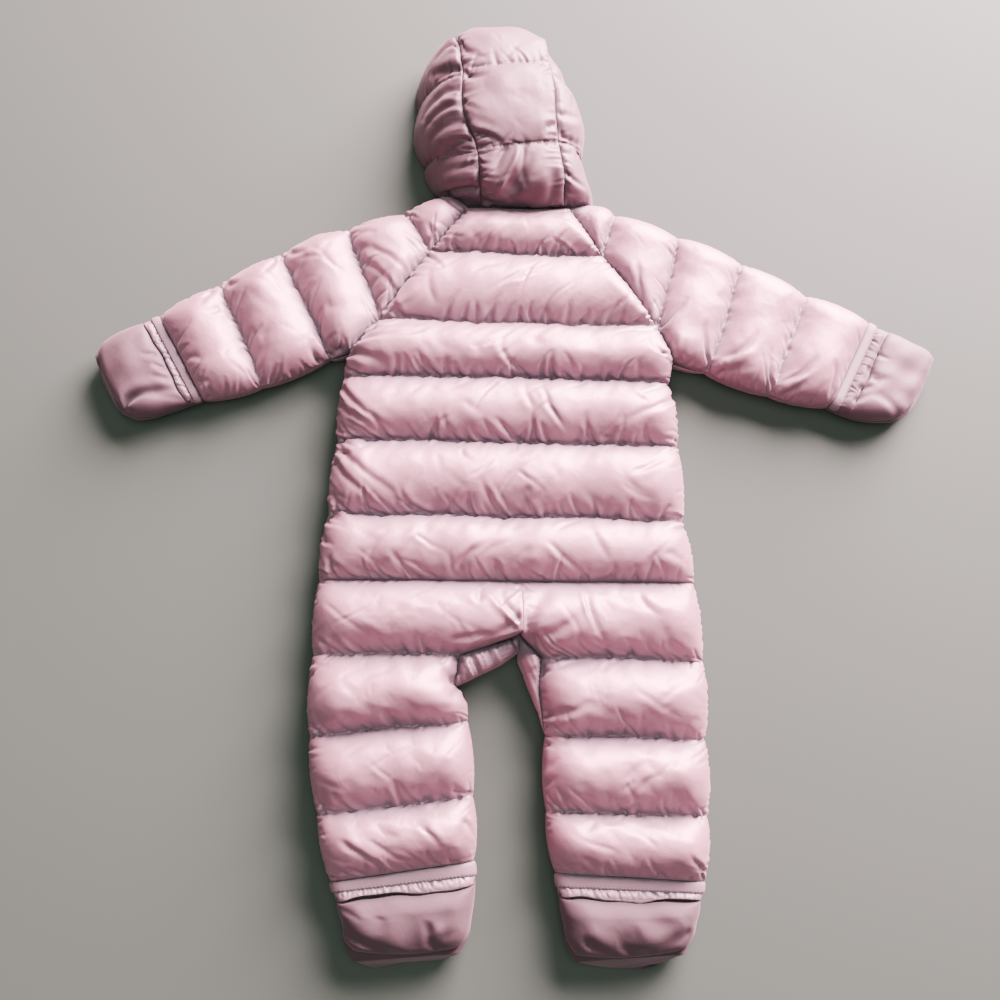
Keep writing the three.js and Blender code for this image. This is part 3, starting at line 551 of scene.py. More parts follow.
hood_sheets = {
    "quilted_hood_left": hood_sheet("left", 0.0, "seam_left", 41),
    "quilted_hood_centre": hood_sheet("centre", "seam_left", "seam_right", 42),
    "quilted_hood_right": hood_sheet("right", "seam_right", 180.0, 43)}
for name, (outer, _, _) in hood_sheets.items():
    print(name, outer.shape[:2], "height", round(outer[..., 2].max(), 1))

# %% [markdown]
# ## Blow up the baffles
#
# Down pushes the cloth out everywhere at once, and the stitches hold it. Blender's cloth solver
# does just that: each sheet is pinned along its quilting and seams, has a little more cloth than
# the space it spans, and is under an even pressure with no gravity. The spare cloth buckles into
# waves that nobody would place by hand. All sheets are solved in the same frames.

# %% The cloth solver
PRESSURE, FRAMES = 4.0, 20
SPARE_ACROSS, SPARE_ALONG = 0.075, 0.03
MOST_MOVE = 7.0
CLOTH = dict(quality=6, mass=0.3, tension_stiffness=12, compression_stiffness=12, shear_stiffness=3,
             bending_stiffness=0.06, air_damping=3)


def facing(points):
    """How much a grid's faces look up, from 1 to -1, with columns and then rows turned through."""
    normal = np.cross(points[:-1, 1:] - points[:-1, :-1], points[1:, :-1] - points[:-1, :-1])
    return float(normal[..., 2].sum() / np.linalg.norm(normal, axis=2).sum())


def grid_faces(number, flip):
    """Quads of a grid of point numbers, which face the other way round when flip is set."""
    corners = [number[:-1, :-1], number[:-1, 1:], number[1:, 1:], number[1:, :-1]]
    return np.stack(corners[::-1] if flip else corners, axis=2).reshape(-1, 4).tolist()


def numbers(points, start=0):
    """The point numbers of a grid, counted row by row."""
    return start + np.arange(points.shape[0] * points.shape[1]).reshape(points.shape[:2])


def to_metres(points):
    return ((np.asarray(points) - FOOTPRINT_CENTRE) * MM).reshape(-1, 3)


def hang(name, points, line):
    """A sheet pinned along its quilting and edges, with the cloth solver on it."""
    mesh = bpy.data.meshes.new(name)
    mesh.from_pydata(to_metres(points), [], grid_faces(numbers(points), facing(points) < 0))
    sheet = bpy.data.objects.new(name, mesh)
    bpy.context.collection.objects.link(sheet)
    held = np.abs(line - np.round(line)) < 1e-6
    held[[0, -1], :] = True
    held[:, [0, -1]] = True
    sheet.vertex_groups.new(name="seams").add(np.flatnonzero(held).tolist(), 1.0, "REPLACE")

    # The shape key gives the size the cloth was cut to, which is larger than the space it spans.
    flat = points.reshape(-1, 3)
    middle = flat.mean(axis=0)
    across = points[-1, -1] - points[-1, 0]
    across /= np.linalg.norm(across)
    larger = flat + (flat - middle) * SPARE_ALONG
    larger += np.outer((flat - middle) @ across, across) * (SPARE_ACROSS - SPARE_ALONG)
    sheet.shape_key_add(name="laid")
    cut = sheet.shape_key_add(name="cut")
    cut.data.foreach_set("co", to_metres(larger).ravel())

    cloth = sheet.modifiers.new("down", "CLOTH")
    cloth.point_cache.frame_end = FRAMES
    settings = cloth.settings
    for key, value in CLOTH.items():
        setattr(settings, key, value)
    settings.vertex_group_mass = "seams"
    settings.rest_shape_key = cut
    settings.use_pressure = True
    settings.uniform_pressure_force = PRESSURE
    settings.effector_weights.gravity = 0
    return sheet


def blow_up(sheets):
    """Blow up sheets of outer cloth, each (points, line), and return their new points."""
    hung = {name: hang(name + "_cut", *sheet) for name, sheet in sheets.items()}
    for number in range(1, FRAMES + 1):
        bpy.context.scene.frame_set(number)
    graph = bpy.context.evaluated_depsgraph_get()
    results = {}
    for name, sheet in hung.items():
        points = sheets[name][0]
        solved = sheet.evaluated_get(graph).to_mesh()
        flat = np.empty(len(solved.vertices) * 3)
        solved.vertices.foreach_get("co", flat)
        move = flat.reshape(points.shape) / MM + FOOTPRINT_CENTRE - points
        far = np.linalg.norm(move, axis=2, keepdims=True)
        results[name] = points + move * np.minimum(1, MOST_MOVE / np.maximum(far, 1e-6))
        print(name, "moved up to", round(float(far.max()), 1), "mm, on average",
              round(float(far.mean()), 2))
        sheet.evaluated_get(graph).to_mesh_clear()
    for sheet in hung.values():
        bpy.data.objects.remove(sheet)
    bpy.context.scene.frame_set(1)
    return results


to_blow = back_sheets | {name: (outer, line) for name, (outer, line, _) in hood_sheets.items()}
blown = blow_up(to_blow)

# %% [markdown]
# ## Creases
#
# Stitches take up more cloth than they leave, so short pleats run away from every line of quilting
# and every gathered seam, and longer folds cross the baffles. They are only a few millimetres
# wide, finer than the sheets that were blown up. So each sheet is first divided once more, and the
# creases are then pressed into it along its own slope. Most are placed by chance with a fixed seed.
# The few large ones that give a panel its look are listed one by one.


# %% Pressing creases into a sheet
def refine(grid):
    """A grid with twice as many points each way, on smooth curves through the old ones."""
    for axis in (0, 1):
        old = np.moveaxis(grid, axis, 0)
        fine = np.empty((2 * len(old) - 1, *old.shape[1:]))
        fine[::2] = old
        fine[1::2] = (old[:-1] + old[1:]) / 2
        fine[3:-2:2] = (9 * (old[1:-2] + old[2:-1]) - old[:-3] - old[3:]) / 16
        grid = np.moveaxis(fine, 0, axis)
    return grid


FADE_IN, RIDGE, RIDGE_AWAY, RIDGE_WIDE = 0.35, 0.38, 2.1, 1.4


def press(depth, across, along, crease):
    """Press one crease into a grid of depths. across and along place the grid's points, in mm."""
    x0, y0, angle, length, deep, wide, bend, bank, floating = crease
    run = math.sin(angle), math.cos(angle)
    reach = 4 * wide + abs(bend)
    ends_x, ends_y = sorted((x0, x0 + run[0] * length)), sorted((y0, y0 + run[1] * length))
    top, bottom = np.searchsorted(along[:, 0], (ends_y[0] - reach, ends_y[1] + reach))
    if bottom - top < 1:
        return
    left = np.searchsorted(across[top:bottom].max(axis=0), ends_x[0] - reach)
    right = np.searchsorted(across[top:bottom].min(axis=0), ends_x[1] + reach)
    window = slice(top, bottom), slice(left, right)
    px, py = across[window] - x0, along[window] - y0
    t = (px * run[0] + py * run[1]) / length
    away = (px * run[1] - py * run[0] - bend * 4 * t * (1 - t)) / wide
    start = np.clip(t / FADE_IN, 0, 1) if floating else np.clip(1 + t * length / (2 * wide), 0, 1)
    strength = start * start * (3 - 2 * start) * np.clip(1 - t, 0, 1) ** 0.8
    section = np.exp(-away ** 2) - RIDGE * np.exp(-(((away - RIDGE_AWAY * bank) / RIDGE_WIDE) ** 2))
    depth[window] += deep * strength * section


ABOVE_QUILTING = dict(gap=(5, 16), length=(9, 34), deep=(1.0, 3.2), wide=(1.1, 2.6))
BELOW_QUILTING = dict(gap=(8, 22), length=(4, 13), deep=(0.4, 1.3), wide=(0.9, 1.5))
ACROSS_BAFFLE = dict(gap=(8, 22), length=(24, 64), deep=(0.5, 1.7), wide=(1.5, 4.2))
FROM_SEAM = dict(gap=(4, 10), length=(9, 32), deep=(0.8, 2.3), wide=(1.0, 1.9))
PLEAT_SWAY, SEAM_SWAY, DIAGONAL = 27, 20, (22, 62)      # degrees


def sewing_creases(across, along, pitch, seed, lean=50, drop=0, seams=(1, 1), calm=1.0, rising=False):
    """Creases that sewing leaves in a panel. lean and drop turn them outwards and downwards.

    rising says that the panel's lines count upwards in the picture, as they do on the hood.
    """
    chance = np.random.default_rng(seed)
    first, last = along[0, 0], along[-1, 0]
    creases = []

    def width_at(y):
        return across[min(np.searchsorted(along[:, 0], y), len(along) - 1), -1]

    def add(kind, x, y, angle, strong=1.0):
        creases.append((x, y, angle, chance.uniform(*kind["length"]) * strong ** 0.5,
                        chance.uniform(*kind["deep"]) * strong, chance.uniform(*kind["wide"]),
                        chance.normal(0, 1.5), chance.choice((-1, 1)), kind is ACROSS_BAFFLE))

    for k in range(math.ceil(first / pitch - 1e-6), math.floor(last / pitch + 1e-6) + 1):
        y, width = k * pitch, width_at(k * pitch)
        for kind, upward in ((ABOVE_QUILTING, not rising), (BELOW_QUILTING, rising)):
            x = chance.uniform(0, 8)
            while x < width:
                outward = 2 * x / width - 1
                angle = math.radians(lean * outward * abs(outward) + chance.normal(0, PLEAT_SWAY))
                add(kind, x, y, math.pi - angle if upward else angle, calm)
                x += chance.uniform(*kind["gap"])
        x = chance.uniform(0, 30)
        while x < width:
            angle = math.radians(chance.uniform(*DIAGONAL)) * chance.choice((-1, 1))
            add(ACROSS_BAFFLE, x, (k + chance.uniform(0.1, 0.9)) * pitch,
                angle + math.pi * chance.integers(2), calm)
            x += chance.uniform(*ACROSS_BAFFLE["gap"])
    for side, strong in enumerate(seams):
        y = first + chance.uniform(0, 6)
        while strong and y < last:
            near_quilting = math.exp(-(((y / pitch - round(y / pitch)) * pitch / 9) ** 2))
            tilt = math.radians(chance.normal(drop, SEAM_SWAY))
            add(FROM_SEAM, side * width_at(y), y, (math.pi / 2 - tilt) * (1 - 2 * side),
                strong * (0.75 + 0.6 * near_quilting))
            y += chance.uniform(*FROM_SEAM["gap"])
    return creases


# Listed: from and to as (share of the width, line), then depth, width, bend and the bank's side.
LARGE_FOLDS = {
    "quilted_back": [
        ((0.53, 2.95), (0.42, 2.2), 2.2, 2.6, 3, 1), ((0.50, 3.95), (0.62, 3.25), 2.0, 2.4, -3, 1),
        ((0.45, 4.9), (0.55, 4.2), 2.2, 2.8, 2, -1), ((0.63, 3.9), (0.55, 3.1), 2.4, 2.2, -2, 1),
        ((0.97, 3.15), (0.78, 3.75), 3.0, 3.2, 4, 1), ((0.98, 2.55), (0.86, 2.1), 2.6, 2.6, 2, -1),
        ((0.02, 3.4), (0.14, 3.95), 3.0, 2.4, 0, 1), ((0.03, 3.2), (0.19, 3.95), 2.6, 2.6, 0, 1),
        ((0.01, 4.2), (0.17, 4.95), 3.0, 2.6, 0, 1), ((0.03, 4.1), (0.24, 4.9), 2.6, 3.0, 0, 1),
        ((0.02, 5.05), (0.1, 5.3), 3.6, 4.0, 3, 1), ((0.97, 5.05), (0.9, 5.25), 3.0, 3.4, 3, -1),
        ((0.8, 4.5), (0.93, 4.1), 2.4, 3.0, 0, -1), ((0.0, 2.6), (0.15, 2.9), 5.0, 4.0, 3, -1),
        ((0.0, 2.5), (0.22, 2.32), 3.0, 3.2, 3, -1), ((0.0, 2.42), (0.14, 2.06), 2.8, 2.4, 2, 1),
        ((0.35, 5.95), (0.46, 5.4), 2.2, 2.8, 2, 1), ((0.58, 5.4), (0.66, 5.95), 2.0, 2.6, 2, -1),
        ((0.5, 1.25), (0.54, 1.7), 1.4, 1.4, 0, 1), ((0.8, 5.9), (0.88, 5.4), 2.0, 2.6, 0, 1)],
    "quilted_leg_left_back": [
        ((0.97, 0.6), (0.8, 0.2), -3.0, 2.4, -2, 1), ((0.99, 0.5), (0.86, 0.12), 4.0, 3.6, 2, 1),
        ((0.92, 0.45), (0.985, 0.08), -2.4, 2.0, 0, 1), ((0.98, 0.55), (0.86, 0.75), 3.4, 3.4, 2, -1),
        ((0.84, 0.35), (0.79, 0.1), 2.4, 2.6, 2, 1), ((0.7, 0.82), (0.96, 0.75), 2.6, 3.0, 2, -1),
        ((1.0, 1.35), (0.8, 1.15), 4.6, 3.4, 2, 1), ((1.0, 1.35), (0.84, 1.6), 4.0, 3.4, -2, 1),
        ((0.2, 3.35), (0.36, 3.92), 3.0, 3.0, 2, 1), ((0.6, 3.3), (0.68, 3.7), 2.6, 2.6, 3, 1),
        ((0.82, 3.3), (0.9, 3.55), 3.0, 2.4, 2, 1), ((0.01, 1.3), (0.16, 1.1), 2.4, 2.6, 0, 1)],
    "quilted_leg_right_back": [
        ((0.02, 0.66), (0.14, 0.1), 5.0, 6.0, 3, -1), ((0.05, 0.8), (0.3, 0.35), 3.6, 5.0, -6, -1),
        ((0.28, 0.12), (0.4, 0.85), -2.6, 2.4, -4, 1),
        ((0.3, 0.15), (0.42, 0.92), 2.6, 2.8, -4, 1), ((0.56, 0.15), (0.68, 0.5), 2.2, 2.8, -3, 1),
        ((0.0, 1.15), (0.2, 1.0), 3.6, 3.4, 3, 1), ((0.0, 1.25), (0.3, 1.05), 3.0, 3.6, 3, 1),
        ((0.0, 1.72), (0.34, 1.55), 4.2, 4.0, -4, -1), ((0.02, 1.85), (0.14, 1.75), 3.6, 2.6, -5, 1),
        ((0.0, 2.15), (0.18, 2.1), 3.4, 3.4, 2, 1), ((0.0, 2.65), (0.14, 2.55), 3.0, 3.0, 0, 1),
        ((0.5, 2.75), (0.66, 2.45), 1.8, 3.0, 2, 1), ((0.9, 3.9), (0.8, 3.5), 2.4, 2.6, 2, -1)],
    "quilted_sleeve_left_back": [
        ((1.0, 2.75), (0.82, 2.95), 4.5, 3.6, 3, 1), ((0.98, 3.15), (0.78, 3.1), 4.2, 3.4, 4, -1),
        ((0.96, 3.9), (0.88, 3.7), 3.2, 3.0, 2, 1), ((0.25, 4.1), (0.33, 4.35), 2.4, 2.6, 3, 1),
        ((0.99, 4.9), (0.86, 4.8), 3.4, 3.0, 2, 1), ((0.6, 0.8), (0.97, 0.95), 2.6, 2.6, 2, 1),
        ((0.35, 1.9), (0.95, 1.35), 2.0, 2.6, 4, 1), ((0.45, 1.95), (0.97, 1.7), 1.8, 2.2, 3, 1),
        ((0.55, 1.3), (0.97, 1.15), 1.8, 2.2, 3, 1), ((0.08, 2.92), (0.24, 2.66), 2.8, 2.4, -2, 1),
        ((0.08, 3.08), (0.26, 3.4), 3.0, 2.6, 2, 1), ((0.09, 3.92), (0.22, 3.72), 2.6, 2.4, -2, 1),
        ((0.09, 4.08), (0.2, 4.36), 2.6, 2.4, 2, 1)],
    "quilted_sleeve_right_back": [
        ((0.83, 2.06), (0.62, 2.4), 4.0, 3.4, 4, 1), ((0.84, 2.94), (0.66, 2.74), 3.2, 2.6, -3, 1),
        ((0.82, 3.08), (0.58, 3.5), 5.0, 3.6, 5, 1), ((0.93, 3.1), (0.8, 3.5), 3.0, 4.0, 3, -1),
        ((0.84, 3.93), (0.66, 3.76), 3.2, 2.6, -3, 1), ((0.82, 4.08), (0.6, 4.42), 5.0, 3.4, 5, 1),
        ((0.93, 4.1), (0.8, 4.45), 3.0, 3.6, 3, -1), ((0.86, 4.93), (0.6, 4.66), 4.2, 3.0, 3, 1),
        ((0.72, 0.85), (0.97, 0.95), 2.4, 2.6, 2, 1), ((0.6, 1.5), (0.98, 1.75), 2.4, 2.8, 3, 1)],
    "quilted_hood_left": [
        ((0.98, 1.85), (0.35, 1.65), 3.4, 3.6, 4, 1), ((0.98, 1.65), (0.4, 1.45), 3.0, 3.0, 4, 1),
        ((0.98, 1.45), (0.45, 1.25), 3.4, 3.4, 4, 1), ((0.98, 1.2), (0.5, 1.02), 3.6, 3.6, 3, 1),
        ((0.98, 2.1), (0.45, 2.25), 3.4, 3.4, -3, 1), ((0.97, 2.45), (0.6, 2.35), 3.0, 3.4, 3, 1),
        ((1.0, 0.42), (0.15, 0.28), 5.0, 3.0, 3, -1), ((0.97, 0.8), (0.5, 0.7), 2.0, 4.0, 3, 1)],
    "quilted_hood_centre": [
        ((0.02, 0.33), (0.24, 0.34), -3.5, 2.0, 1, 1), ((0.18, 0.3), (0.46, 0.97), -5.0, 2.4, 2, 1),
        ((0.26, 0.2), (0.58, 0.9), 6.0, 5.0, 4, 1), ((0.03, 0.2), (0.3, 0.16), 4.0, 4.0, 2, 1),
        ((0.3, 0.95), (0.2, 0.6), 3.0, 3.6, 2, 1),
        ((0.86, 0.7), (0.68, 0.05), 3.6, 4.6, -4, 1), ((0.5, 0.95), (0.56, 0.3), 1.8, 2.6, 3, 1),
        ((0.02, 1.95), (0.3, 1.85), 4.2, 3.4, 3, 1), ((0.02, 1.22), (0.3, 1.02), 4.0, 3.0, -3, -1),
        ((0.98, 1.2), (0.78, 1.08), 3.0, 3.2, 2, 1), ((0.02, 2.35), (0.22, 2.1), 3.6, 3.6, 3, 1),
        ((0.03, 2.6), (0.2, 2.75), 3.0, 3.4, 2, 1), ((0.98, 1.9), (0.86, 1.75), 2.6, 2.6, 2, 1)],
    "quilted_hood_right": [
        ((0.02, 1.1), (0.5, 1.2), 3.0, 3.0, 3, 1), ((0.02, 1.35), (0.4, 1.5), 2.4, 3.0, 2, 1),
        ((0.02, 0.6), (0.4, 0.5), 2.6, 3.0, 2, 1), ((0.02, 0.15), (0.5, 0.35), 3.6, 3.4, 3, 1)]}
MANNER = {
    "quilted_back": dict(lean=55, drop=30, seams=(1.5, 1.2), calm=1.0),
    "quilted_leg_left_back": dict(lean=35, seams=(1.0, 0.6), calm=0.8),
    "quilted_leg_right_back": dict(lean=35, seams=(0.6, 1.0), calm=0.8),
    "quilted_sleeve_left_back": dict(lean=20, seams=(0.8, 1.1), calm=0.75),
    "quilted_sleeve_right_back": dict(lean=20, seams=(0.4, 1.0), calm=0.32),
    "quilted_hood_left": dict(lean=15, seams=(0.3, 1.2), calm=0.5, rising=True),
    "quilted_hood_centre": dict(lean=25, seams=(1.2, 0.8), calm=0.55, rising=True),
    "quilted_hood_right": dict(lean=15, seams=(1.0, 0.3), calm=0.4, rising=True)}
SEAM_CALM = 3.5      # how near a seam the creases fade out, in mm


def folds_between(folds, across, along, pitch):
    """Folds listed one by one, as the same numbers that chance gives for the others."""
    for (u0, l0), (u1, l1), deep, wide, bend, bank in folds:
        width = across[min(np.searchsorted(along[:, 0], (l0 + l1) / 2 * pitch), len(along) - 1), -1]
        run_x, run_y = (u1 - u0) * width, (l1 - l0) * pitch
        floating = 0.05 < u0 < 0.95 and abs(l0 - round(l0)) > 0.07
        yield (u0 * width, l0 * pitch, math.atan2(run_x, run_y), math.hypot(run_x, run_y), deep, wide,
               bend, bank, floating)


def slope(points):
    """The outward direction at each point of a grid of outer cloth."""
    normal = np.cross(np.gradient(points, axis=1), np.gradient(points, axis=0))
    normal *= math.copysign(1, facing(points))
    return normal / np.maximum(np.linalg.norm(normal, axis=2, keepdims=True), 1e-9)


def crease(name, points, line, seed):
    """The sheet with all its creases pressed in."""
    across = np.cumsum(np.linalg.norm(np.diff(points, axis=1, prepend=points[:, :1]), axis=2), axis=1)
    middle = points[:, points.shape[1] // 2]
    pitch = np.linalg.norm(np.diff(middle, axis=0), axis=1).sum() / (line[-1, 0] - line[0, 0])
    along = line * pitch
    depth = np.zeros(line.shape)
    for each in sewing_creases(across, along, pitch, seed, **MANNER[name]):
        press(depth, across, along, each)
    for each in folds_between(LARGE_FOLDS[name], across, along, pitch):
        press(depth, across, along, each)
    ends = np.minimum(along - along[0, 0], along[-1, 0] - along)
    to_seam = np.minimum(np.minimum(across, across[:, -1:] - across), ends)
    depth *= np.clip(to_seam / SEAM_CALM, 0, 1)
    print(name, "creases up to", round(float(depth.max()), 1), "mm deep")
    return points - slope(points) * depth[..., None]


finished = {}
for seed, (name, (_, line)) in enumerate(to_blow.items()):
    finished[name] = crease(name, refine(blown[name]), refine(line), 70 + seed), refine(line)

# %% [markdown]
# ## Sew each sheet into a padded panel
#
# A back panel is its outer cloth over a plain inner one, closed all round by its seams. The inner
# cloth lies hidden on the front of the suit, so a few long faces are enough for it.


# %% Closing a panel
def add_piece(name, points, faces, materials, kinds=None):
    """A closed piece from points in millimetres. kinds gives each face its material's number."""
    mesh = bpy.data.meshes.new(name)
    mesh.from_pydata(to_metres(points), [], faces)
    for material in materials:
        mesh.materials.append(material)
    if kinds is not None:
        mesh.polygons.foreach_set("material_index", kinds)
    mesh.polygons.foreach_set("use_smooth", [True] * len(mesh.polygons))
    piece = bpy.data.objects.new(name, mesh)
    bpy.context.collection.objects.link(piece)
    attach(piece, "root")
    return piece


def closed_panel(outer, inner_z, outside_up):
    """Points and faces of a panel: the outer grid, and inner cloth straight from edge to edge."""
    flip = (facing(outer) < 0) == outside_up
    number = numbers(outer)
    inner = outer[:, [0, -1]].copy()
    inner[..., 2] = inner_z
    edge = numbers(inner, start=number.size)
    faces = grid_faces(number, flip) + grid_faces(edge[:, ::-1], flip)
    faces += grid_faces(np.stack([edge[:, 0], number[:, 0]], axis=1), flip)
    faces += grid_faces(np.stack([number[:, -1], edge[:, 1]], axis=1), flip)
    ends = [[*number[0, ::-1], *edge[0]], [*number[-1], *edge[-1, ::-1]]]
    faces += [[int(n) for n in (end[::-1] if flip else end)] for end in ends]
    return np.concatenate([outer.reshape(-1, 3), inner.reshape(-1, 3)]), faces


def shell(outer, inner, flip):
    """Points and faces of a hollow piece between two grids, and how many faces aren't lining."""
    a, b = numbers(outer), numbers(inner, start=outer.shape[0] * outer.shape[1])
    faces = grid_faces(a, flip)
    for rim in ((b[:, 0], a[:, 0]), (a[:, -1], b[:, -1])):
        faces += grid_faces(np.stack(rim, axis=1), flip)
    for rim in ((b[0], a[0]), (a[-1], b[-1])):
        faces += grid_faces(np.stack(rim), flip)
    points = np.concatenate([outer.reshape(-1, 3), inner.reshape(-1, 3)])
    return points, faces + grid_faces(b, not flip), len(faces)


BACK_NODES = {"quilted_back": "back_body"}
for side in ("left", "right"):
    BACK_NODES[f"quilted_leg_{side}_back"] = f"leg_{side}_back"
    BACK_NODES[f"quilted_sleeve_{side}_back"] = f"sleeve_{side}_back"
for name, node in BACK_NODES.items():
    outer = finished[name][0]
    outer[..., 2] = np.maximum(outer[..., 2], BACK_EDGE)
    points, faces = closed_panel(outer, BACK_UNDER, True)
    panel = add_piece(name, points, faces, [QUILTED_NYLON])
    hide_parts(node)
    print(name, "faces", len(faces), "top", round(points[:, 2].max(), 1))

# %% [markdown]
# The hood is hollow, so both of its cloths are whole sheets: the quilted outer one and the lining
# that faces the head. They are joined along the panel's seams and at its rim on the floor.

# %% Hood panels
for name, (_, _, inner) in hood_sheets.items():
    outer = finished[name][0]
    outer[..., 2] = np.maximum(outer[..., 2], 0)
    points, faces, plain = shell(outer, refine(inner), facing(outer) < 0)
    kinds = [0] * plain + [1] * (len(faces) - plain)
    hood = add_piece(name, points, faces, [HOOD_NYLON_PAINTED_SHADE, LINING_CLOTH], kinds)
    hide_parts(name.replace("quilted_", ""))
    print(name, "faces", len(faces))

# %% [markdown]
# ## The front
#
# The front is quilted like the back, but the suit's own weight presses it flat on the floor. It
# lifts off only along the quilting and rounds up to the side seams. Between the legs its inner side
# shows, gathered where the inseam was sewn, so the legs have a whole inner cloth as well.

# %% Front panels
INSEAM_FULL, INSEAM_GATHER = 14.0, {"left": 2.6, "right": 0.5}
ALONG_INSEAM = np.array([0.887, 0.461])
FRONT_CELL, LEG_FRONT_CELL = 2.6, 1.6
BARE_REACH, SEAM_SLACK = 40, 0.6


def front_sheet(panel, seed, cell):
    """The outer cloth of a front panel, whose baffles rest on the floor."""
    grid = lay_out(panel, cell, cell, seed)
    at = grid["at"]
    low = GROOVE * (1 - np.clip(grid["full"] * 1.5, 0, 1))
    z = low + np.zeros_like(grid["x"])
    for free, distance in ((at["free_a"], grid["from_a"]), (at["free_b"], grid["from_b"])):
        edge = GROOVE * (1 - free) + FRONT_EDGE * free
        z += (edge - low) * (1 - quarter(distance, edge * 1.05))
    pitch = np.linalg.norm(middle_of(panel, panel["line"][-1]) - middle_of(panel, panel["line"][0]))
    pitch /= panel["line"][-1] - panel["line"][0]
    depth = np.zeros_like(z)
    for each in sewing_creases(grid["from_a"], grid["line"] * pitch, pitch, seed, calm=0.8):
        press(depth, grid["from_a"], grid["line"] * pitch, each)
    depth *= np.clip(np.minimum(grid["from_a"], grid["from_b"]) / 6, 0, 1)
    z = np.clip(z + depth, 0, FRONT_EDGE)
    return np.dstack([grid["x"], grid["y"], z])


def off_path(plan, path):
    """How far points lie from a path, in plan."""
    best = np.full(plan.shape[:2], np.inf)
    for start, end in zip(path, path[1:]):
        run = end - start
        t = np.clip((plan - start) @ run / max(run @ run, 1e-9), 0, 1)
        best = np.minimum(best, np.linalg.norm(plan - start - t[..., None] * run, axis=2))
    return best


def within(plan, outline):
    """Whether points lie inside a closed outline, in plan."""
    crossings = np.zeros(plan.shape[:2], int)
    for (ax, ay), (bx, by) in zip(outline, np.roll(outline, -1, axis=0)):
        if ay != by:
            spans = (ay > plan[..., 1]) != (by > plan[..., 1])
            crossings += spans & (plan[..., 0] < ax + (plan[..., 1] - ay) * (bx - ax) / (by - ay))
    return crossings % 2 == 1


def inner_leg(side, outer):
    """A leg front's inner cloth: flat under the leg's back, full and gathered outside it."""
    back = finished[f"quilted_leg_{side}_back"][0][::2, :, :2]
    inseam = -1 if side == "left" else 0
    plan = outer[..., :2]
    bare = ~within(plan, np.concatenate([back[:, 0], back[::-1, -1]]))
    bare &= np.abs(plan[..., 0] - plan[:, [inseam], 0]) < BARE_REACH
    to_back = np.where(bare, np.maximum(off_path(plan, back[:, inseam]) - SEAM_SLACK, 0), 0)
    to_edge = off_path(plan, outer[:, inseam, :2])
    wide = np.maximum(to_back + to_edge, 1e-6)
    share = to_back / wide
    round_off = np.sqrt(1 - np.clip(share / 0.98 - 0.25, 0, 0.75) ** 2 / 0.75 ** 2)
    bulge = round_off * np.clip(0.55 + share * 2, 0, 1) * (to_back > 0)

    # Two trains of gathers run along the inseam, and the finer one is unevenly spaced.
    along = plan @ ALONG_INSEAM
    ripple = 0.5 * np.sin(along * 0.5 + 0.8) + 0.75 * np.sin(along * 1.25 + 1.1 * np.sin(along * 0.4))
    full = np.minimum(INSEAM_FULL, wide * 0.9)
    full = full + INSEAM_GATHER[side] * ripple * np.clip(wide / 10, 0, 1)
    inner = outer.copy()
    inner[..., 2] = FRONT_OVER + bulge * full
    return inner


FRONTS = {}
for side in ("left", "right"):
    FRONTS[f"front_{side}"] = front_half(side)
    FRONTS[f"leg_{side}_front"] = LEG_FRONTS[side]
    FRONTS[f"sleeve_{side}_front"] = SLEEVES[side]
for seed, (node, rows) in enumerate(FRONTS.items()):
    is_leg = node.startswith("leg")
    outer = front_sheet(rows, 60 + seed, LEG_FRONT_CELL if is_leg else FRONT_CELL)
    if is_leg:
        points, faces, _ = shell(outer, inner_leg(node.split("_")[1], outer), facing(outer) > 0)
    else:
        points, faces = closed_panel(outer, FRONT_OVER, False)
    panel = add_piece("quilted_" + node, points, faces, [QUILTED_NYLON])
    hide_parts(node)
    print(panel.name, "faces", len(faces))

# %% [markdown]
# ## Mitts and booties
#
# Each hand and foot end has a pocket that folds over it, so that it can be closed or left open.
# It isn't quilted, only lightly padded. Its mouth is gathered on elastic beside a flat binding, and
# on the booties it gapes a little, as a dark slit over a soft lip. The large folds are placed one by
# one from the photograph, because they are single folds of a smooth cloth.
# The slit's dark inside is partly a real gap and partly painted shade.

